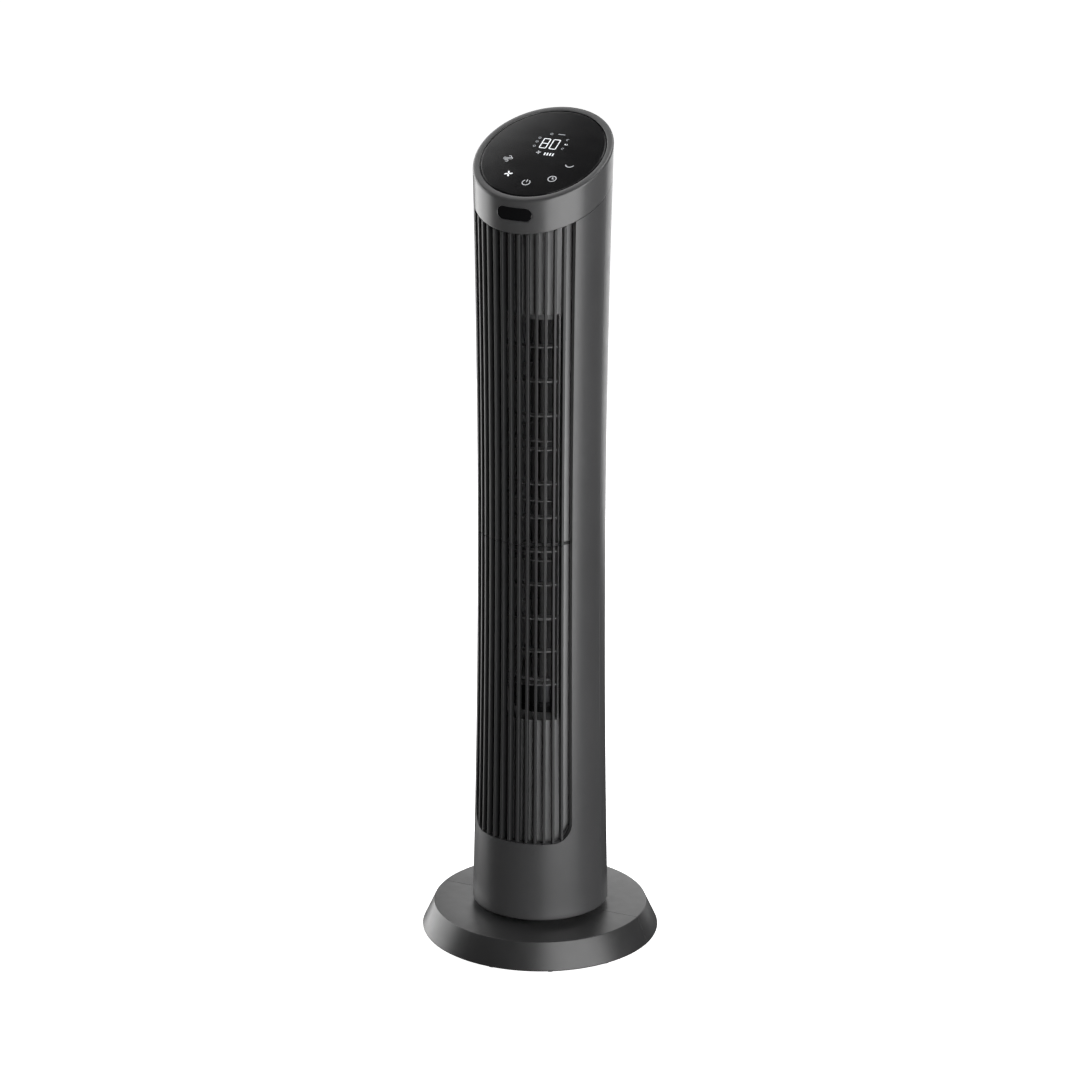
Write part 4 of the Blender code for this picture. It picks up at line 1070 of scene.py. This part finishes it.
def louvre_frame():
    """The wall behind the ribs, its outlet and the curved slats across the outlet. The wall is dark
    plastic, painted light grey all over as painted light for the light that falls on it between the
    ribs.
    """
    window = spread(-OUTLET_ANGLE, OUTLET_ANGLE, 32)
    jamb = OUTLET_ANGLE + SILL / DUCT_RADIUS
    sides = [DUCT_ANGLE, *spread(FIN_ANGLE, jamb, 6)]
    angles = [-angle for angle in sides] + window + sides[::-1]
    radii = (SLAT_INNER, SLAT_OUTER, DUCT_RADIUS - DUCT_WALL, DUCT_RADIUS, FIN_RADIUS)
    outlet_bottom = TOP_SLAT - SLAT_PITCH * SLAT_COUNT - SLAT_THICKNESS / 2
    outlet_top = TOP_SLAT + SLAT_PITCH - SLAT_THICKNESS / 2
    heights = [DUCT_BOTTOM, outlet_bottom - SILL, outlet_bottom]
    for index in reversed(range(SLAT_COUNT)):
        middle = TOP_SLAT - SLAT_PITCH * index
        heights += [middle - SLAT_THICKNESS / 2, middle + SLAT_THICKNESS / 2]
    heights += [outlet_top, outlet_top + SILL]
    outlet_rows = range(2, 2 * SLAT_COUNT + 3)

    def is_filled(i, j, k):
        middle = abs(angles[i] + angles[i + 1]) / 2
        if k == 3:
            return middle > FIN_ANGLE
        in_outlet = middle < OUTLET_ANGLE and j in outlet_rows
        if k == 2:
            return not in_outlet
        in_frame = middle < jamb and 1 <= j <= 2 * SLAT_COUNT + 3
        if in_outlet:
            return k == 0 and j % 2 == 1
        return in_frame

    def corner(i, j, k):
        drop = radii[k] * math.cos(angles[i]) * math.tan(SLANT)
        height = heights[j] if j < len(heights) else SEAM_LEVEL + DUCT_RISE - drop
        return polar(angles[i], radii[k], height)

    shape = lattice((len(angles) - 1, len(heights), len(radii) - 1), is_filled, corner)
    add_piece("duct_louvres", shape, "inner_plastic", "column", "louvre_frame", bevel=SHELL_EDGE)


def impeller_heights():
    """Disc, hub end and rings, then hub end, rim and disc, from the bottom up."""
    inner_bottom = IMPELLER_BOTTOM + DISC_THICKNESS
    inner_top = IMPELLER_TOP - DISC_THICKNESS
    heights = [IMPELLER_BOTTOM, inner_bottom, IMPELLER_BOTTOM + HUB_LENGTH]
    spacing = (IMPELLER_TOP - TOP_RIM - inner_bottom) / (IMPELLER_RINGS + 1)
    for index in range(IMPELLER_RINGS):
        middle = inner_bottom + spacing * (index + 1)
        heights += [middle - RING_THICKNESS / 2, middle + RING_THICKNESS / 2]
    return heights + [IMPELLER_TOP - HUB_LENGTH, IMPELLER_TOP - TOP_RIM, inner_top, IMPELLER_TOP]


def impeller():
    """Curved blades between two end discs, stiffened by rings, with a hub at each end."""
    heights = impeller_heights()
    blade_radii = spread(BLADE_INNER, IMPELLER_RADIUS, 5)
    radii = (SHAFT_RADIUS + SEAM_GAP, HUB_RADIUS, *blade_radii)
    blade_angle = BLADE_THICKNESS / IMPELLER_RADIUS
    pitch = FULL_TURN / BLADE_COUNT
    cells = 4
    last = len(heights) - 2
    ring_rows = [*range(3, 3 + 2 * IMPELLER_RINGS, 2), last - 1]

    def is_filled(i, j, k):
        is_disc = j in (0, last)
        if k == 0:
            return is_disc or j in (1, last - 2, last - 1)
        if k == 1:
            return is_disc
        return is_disc or j in ring_rows or i % cells == 0

    def corner(i, j, k):
        part = i % cells
        share = (part - 1) / (cells - 1)
        within = 0.0 if part == 0 else blade_angle + (pitch - blade_angle) * share
        reach = max(0.0, (radii[k] - BLADE_INNER) / (IMPELLER_RADIUS - BLADE_INNER))
        lean = BLADE_LEAN * reach**BLADE_CURL
        place = polar(pitch * (i // cells) + within + lean, radii[k], heights[j])
        return place + Vector((0.0, IMPELLER_AXIS_Y, 0.0))

    counts = (cells * BLADE_COUNT, len(heights) - 1, len(radii) - 1)
    shape = lattice(counts, is_filled, corner, wraps=True)
    add_piece("wheel_blades", shape, "impeller_plastic", "impeller", "impeller", bevel=BLADE_EDGE)


def fan_motor():
    """A drawn steel can with a round shoulder, a bead near its foot and a bore for the shaft."""
    low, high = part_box("fan_motor")
    bead = (high.x - low.x) / 2
    can = bead - BEAD_HEIGHT
    bore = SHAFT_RADIUS + SEAM_GAP
    bore_floor = high.z - SHAFT_BORE_DEPTH
    profile = [
        (bore, high.z),
        (bead - CAN_SHOULDER, high.z),
        (can, high.z - CAN_SHOULDER_DROP),
        (can, low.z + BEAD_TOP),
        (bead, low.z + BEAD_TOP - BEAD_HEIGHT),
        (bead, low.z + BEAD_BOTTOM + BEAD_HEIGHT),
        (can, low.z + BEAD_BOTTOM),
        (can, low.z),
        (0.0, low.z),
        (0.0, bore_floor),
        (bore, bore_floor),
    ]
    profile = rounded(profile, {1: CAN_FILLET, 2: CAN_FILLET})
    shape = turned(profile, 72, centre=(0.0, IMPELLER_AXIS_Y))
    add_piece("motor_can", shape, "motor_steel", "column", "fan_motor")


# ---- the base


def flank_radius(height):
    """The base's outer radius at a height on its sloping flank."""
    share = (height - BASE_BOTTOM) / (BASE_TOP - BASE_BOTTOM)
    return BASE_BOTTOM_RADIUS + (BASE_TOP_RADIUS - BASE_BOTTOM_RADIUS) * share


def base_halves():
    """Top plate, sloping flank, and the flange that the feet sit on, in two halves."""
    ceiling = BASE_TOP - BASE_WALL
    floor = BASE_BOTTOM + BASE_WALL
    collar_inner = NECK_RADIUS + SEAM_GAP
    collar_outer = NECK_FLANGE_RADIUS + COLLAR_MARGIN
    profile = [
        (collar_inner, BASE_TOP),
        (BASE_TOP_RADIUS, BASE_TOP),
        (BASE_BOTTOM_RADIUS, BASE_BOTTOM),
        (BASE_BOTTOM_RADIUS - BASE_FLANGE, BASE_BOTTOM),
        (BASE_BOTTOM_RADIUS - BASE_FLANGE, floor),
        (flank_radius(floor) - BASE_WALL, floor),
        (flank_radius(ceiling) - BASE_WALL, ceiling),
        (collar_outer, ceiling),
        (collar_outer, BASE_TOP - COLLAR_THICKNESS),
        (collar_inner, BASE_TOP - COLLAR_THICKNESS),
    ]
    fillets = {0: COLLAR_FILLET, 1: BASE_FILLET, 2: BASE_FILLET, 3: BASE_FLANGE_FILLET}
    profile = rounded(profile, fillets, 5)
    halves = (
        ("base_shell_front", "base_front_half", -math.pi / 2, -1),
        ("base_shell_rear", "base_rear_half", math.pi / 2, 1),
    )
    for name, node, start, side in halves:
        shape = turned(profile, 96, start, math.pi, centre=(0.0, side * SEAM_GAP / 2))
        add_piece(name, shape, "base_plastic", "base", node, bevel=BASE_EDGE)


def feet():
    """Soft round pads under the rim."""
    profile = [(0.0, FOOT_HEIGHT), (FOOT_RADIUS, FOOT_HEIGHT), (FOOT_RADIUS, 0.0), (0.0, 0.0)]
    for index in range(FOOT_COUNT):
        place = polar(FULL_TURN * index / FOOT_COUNT, FOOT_CIRCLE, 0.0)
        shape = turned(rounded(profile, {2: FOOT_FILLET}), 32, centre=(place.x, place.y))
        number = f"{index + 1:02d}"
        add_piece(f"pad_{number}", shape, "foot_rubber", "base", f"foot_{number}")


def neck():
    """The fixed cup that the column turns on, with the bearing for the turntable's stem."""
    flange_top = BASE_TOP - COLLAR_THICKNESS - SEAM_GAP
    flange_bottom = flange_top - NECK_WALL
    inner = NECK_RADIUS - NECK_WALL
    bearing = STEM_RADIUS + SEAM_GAP
    bearing_outer = bearing + BEARING_WALL
    profile = [
        (bearing, NECK_FLOOR + BEARING_RISE),
        (bearing_outer, NECK_FLOOR + BEARING_RISE),
        (bearing_outer, NECK_FLOOR),
        (inner, NECK_FLOOR),
        (inner, NECK_TOP),
        (NECK_RADIUS, NECK_TOP),
        (NECK_RADIUS, flange_top),
        (NECK_FLANGE_RADIUS, flange_top),
        (NECK_FLANGE_RADIUS, flange_bottom),
        (inner, flange_bottom),
        (inner, NECK_FLOOR - NECK_WALL),
        (bearing_outer, NECK_FLOOR - NECK_WALL),
        (bearing_outer, BEARING_BOTTOM),
        (bearing, BEARING_BOTTOM),
    ]
    add_piece("neck_cup", turned(profile, 96), "inner_plastic", "base", "neck", bevel=SHELL_EDGE)


def cord_gland():
    """The bushing low in the rear flank, with one groove round its outer end."""
    inner_end, outer_end = GLAND_ENDS
    groove = GLAND_RADIUS - GLAND_GROOVE_DEPTH
    profile = [
        (GLAND_BORE, inner_end),
        (GLAND_RADIUS, inner_end),
        (GLAND_RADIUS, GLAND_GROOVE[0]),
        (groove, GLAND_GROOVE[1]),
        (groove, GLAND_GROOVE[2]),
        (GLAND_RADIUS - GLAND_TAPER[0], GLAND_GROOVE[3]),
        (GLAND_RADIUS - GLAND_TAPER[1], outer_end),
        (GLAND_BORE, outer_end),
    ]
    shape = turned(rounded(profile, {6: GLAND_FILLET, 7: GLAND_FILLET}), 40)
    bmesh.ops.rotate(shape, verts=shape.verts, matrix=Matrix.Rotation(-math.pi / 2, 3, "X"))
    centre = Vector((0.0, flank_radius(GLAND_LEVEL), GLAND_LEVEL))
    bmesh.ops.translate(shape, verts=shape.verts, vec=centre)
    add_piece("gland_bushing", shape, "gland_rubber", "base", "cord_gland")


# ---- stage, light and camera

CAMERA_AZIMUTH = math.radians(24.89)
CAMERA_ELEVATION = math.radians(19.74)
CAMERA_DISTANCE = 5.7178
CAMERA_TARGET_HEIGHT = 0.4939
CAMERA_TARGET_SIDE = -0.00181
CAMERA_LENS = 161.96
CAMERA_ROLL = math.radians(0.208)
ROOM_GLOW = 0.04
FLOOR_REACH = 30.0


def toward(azimuth, elevation):
    """The unit vector towards a place round the fan, with azimuth 0 in front of it."""
    return polar(azimuth, math.cos(elevation), math.sin(elevation))


def camera():
    side = Vector((math.cos(CAMERA_AZIMUTH), math.sin(CAMERA_AZIMUTH), 0.0))
    target = side * CAMERA_TARGET_SIDE + Vector((0.0, 0.0, CAMERA_TARGET_HEIGHT))
    data = bpy.data.cameras.new("camera")
    data.lens = CAMERA_LENS
    data.sensor_width = 36.0
    data.clip_end = 100.0
    obj = bpy.data.objects.new("camera", data)
    obj.location = target + toward(CAMERA_AZIMUTH, CAMERA_ELEVATION) * CAMERA_DISTANCE
    turn = (target - obj.location).to_track_quat("-Z", "Y")
    roll = Matrix.Rotation(CAMERA_ROLL, 4, "Z").to_quaternion()
    obj.rotation_mode = "QUATERNION"
    obj.rotation_quaternion = turn @ roll
    bpy.context.scene.collection.objects.link(obj)
    bpy.context.scene.camera = obj


def soft_light(name, azimuth, elevation, distance, width, height, brightness, centre):
    """A rectangular soft box that faces a point on the fan's axis."""
    data = bpy.data.lights.new(name, "AREA")
    data.shape = "RECTANGLE"
    data.size = width
    data.size_y = height
    data.energy = brightness * math.pi * width * height
    obj = bpy.data.objects.new(name, data)
    middle = Vector((0.0, 0.0, centre))
    obj.location = middle + toward(math.radians(azimuth), math.radians(elevation)) * distance
    obj.rotation_euler = (middle - obj.location).to_track_quat("-Z", "Y").to_euler()
    obj.visible_camera = False
    bpy.context.scene.collection.objects.link(obj)


def room():
    """Surroundings that are white to the eye and throw almost no light on the fan."""
    world = bpy.data.worlds.new("room")
    world.use_nodes = True
    bpy.context.scene.world = world
    nodes = world.node_tree.nodes
    links = world.node_tree.links
    seen = nodes.new("ShaderNodeLightPath").outputs["Is Camera Ray"]
    strength = nodes.new("ShaderNodeMapRange")
    strength.inputs["To Min"].default_value = ROOM_GLOW
    strength.inputs["To Max"].default_value = 1.0
    links.new(seen, strength.inputs["Value"])
    links.new(strength.outputs["Result"], nodes["Background"].inputs["Strength"])
    nodes["Background"].inputs["Color"].default_value = (1.0, 1.0, 1.0, 1.0)


def floor():
    """A pale floor that glows, so that it looks white, and doesn't light or shade the fan."""
    shape = bmesh.new()
    corners = ((-1, -1), (1, -1), (1, 1), (-1, 1))
    shape.faces.new([shape.verts.new((x * FLOOR_REACH, y * FLOOR_REACH, 0.0)) for x, y in corners])
    mesh = bpy.data.meshes.new("floor")
    shape.to_mesh(mesh)
    shape.free()
    graph = Graph("floor_paint")
    cloud = graph.noise(3.0, 3.0)
    graph.set(Base_Color=graph.mix(cloud, (0.86, 0.86, 0.86, 1.0), (0.90, 0.90, 0.90, 1.0)))
    graph.set(Roughness=graph.remap(cloud, 0.3, 0.7, 0.7, 0.8))
    graph.set(Emission_Color=(1.0, 1.0, 1.0, 1.0), Emission_Strength=1.0)
    graph.set(Normal=graph.bump(graph.noise(300.0), 0.02, 0.0005))
    mesh.materials.append(graph.material)
    obj = bpy.data.objects.new("floor", mesh)
    bpy.context.scene.collection.objects.link(obj)
    obj.visible_diffuse = False
    obj.visible_glossy = False
    obj.visible_shadow = False


def lights():
    """Big soft boxes on the right, on the left and behind, and two small ones over the head."""
    soft_light("key", 61.0, 3.0, 1.9, 2.3, 2.6, 4.8, 0.75)
    soft_light("left", -98.0, 4.0, 1.9, 1.9, 2.8, 3.8, 0.7)
    soft_light("back", -175.0, 8.0, 1.9, 2.0, 1.9, 1.7, 0.45)
    soft_light("glow", -133.0, 38.0, 1.3, 0.8, 0.7, 2.6, 0.95)
    soft_light("crown", 165.0, 62.0, 0.9, 0.5, 0.5, 5.0, 0.98)


# ---- the whole scene


def main():
    front_shell()
    rear_shell()
    lower_grille()
    upper_grille()
    intake_grille()
    head_ring()
    receiver_window()
    touch_panel()
    number_display()
    touch_icons()
    small_signs()
    louvre_frame()
    impeller()
    fan_motor()
    base_halves()
    feet()
    neck()
    cord_gland()
    dress_cad_nodes()
    floor()
    room()
    lights()
    camera()
    bpy.context.scene.view_settings.view_transform = "Standard"


main()
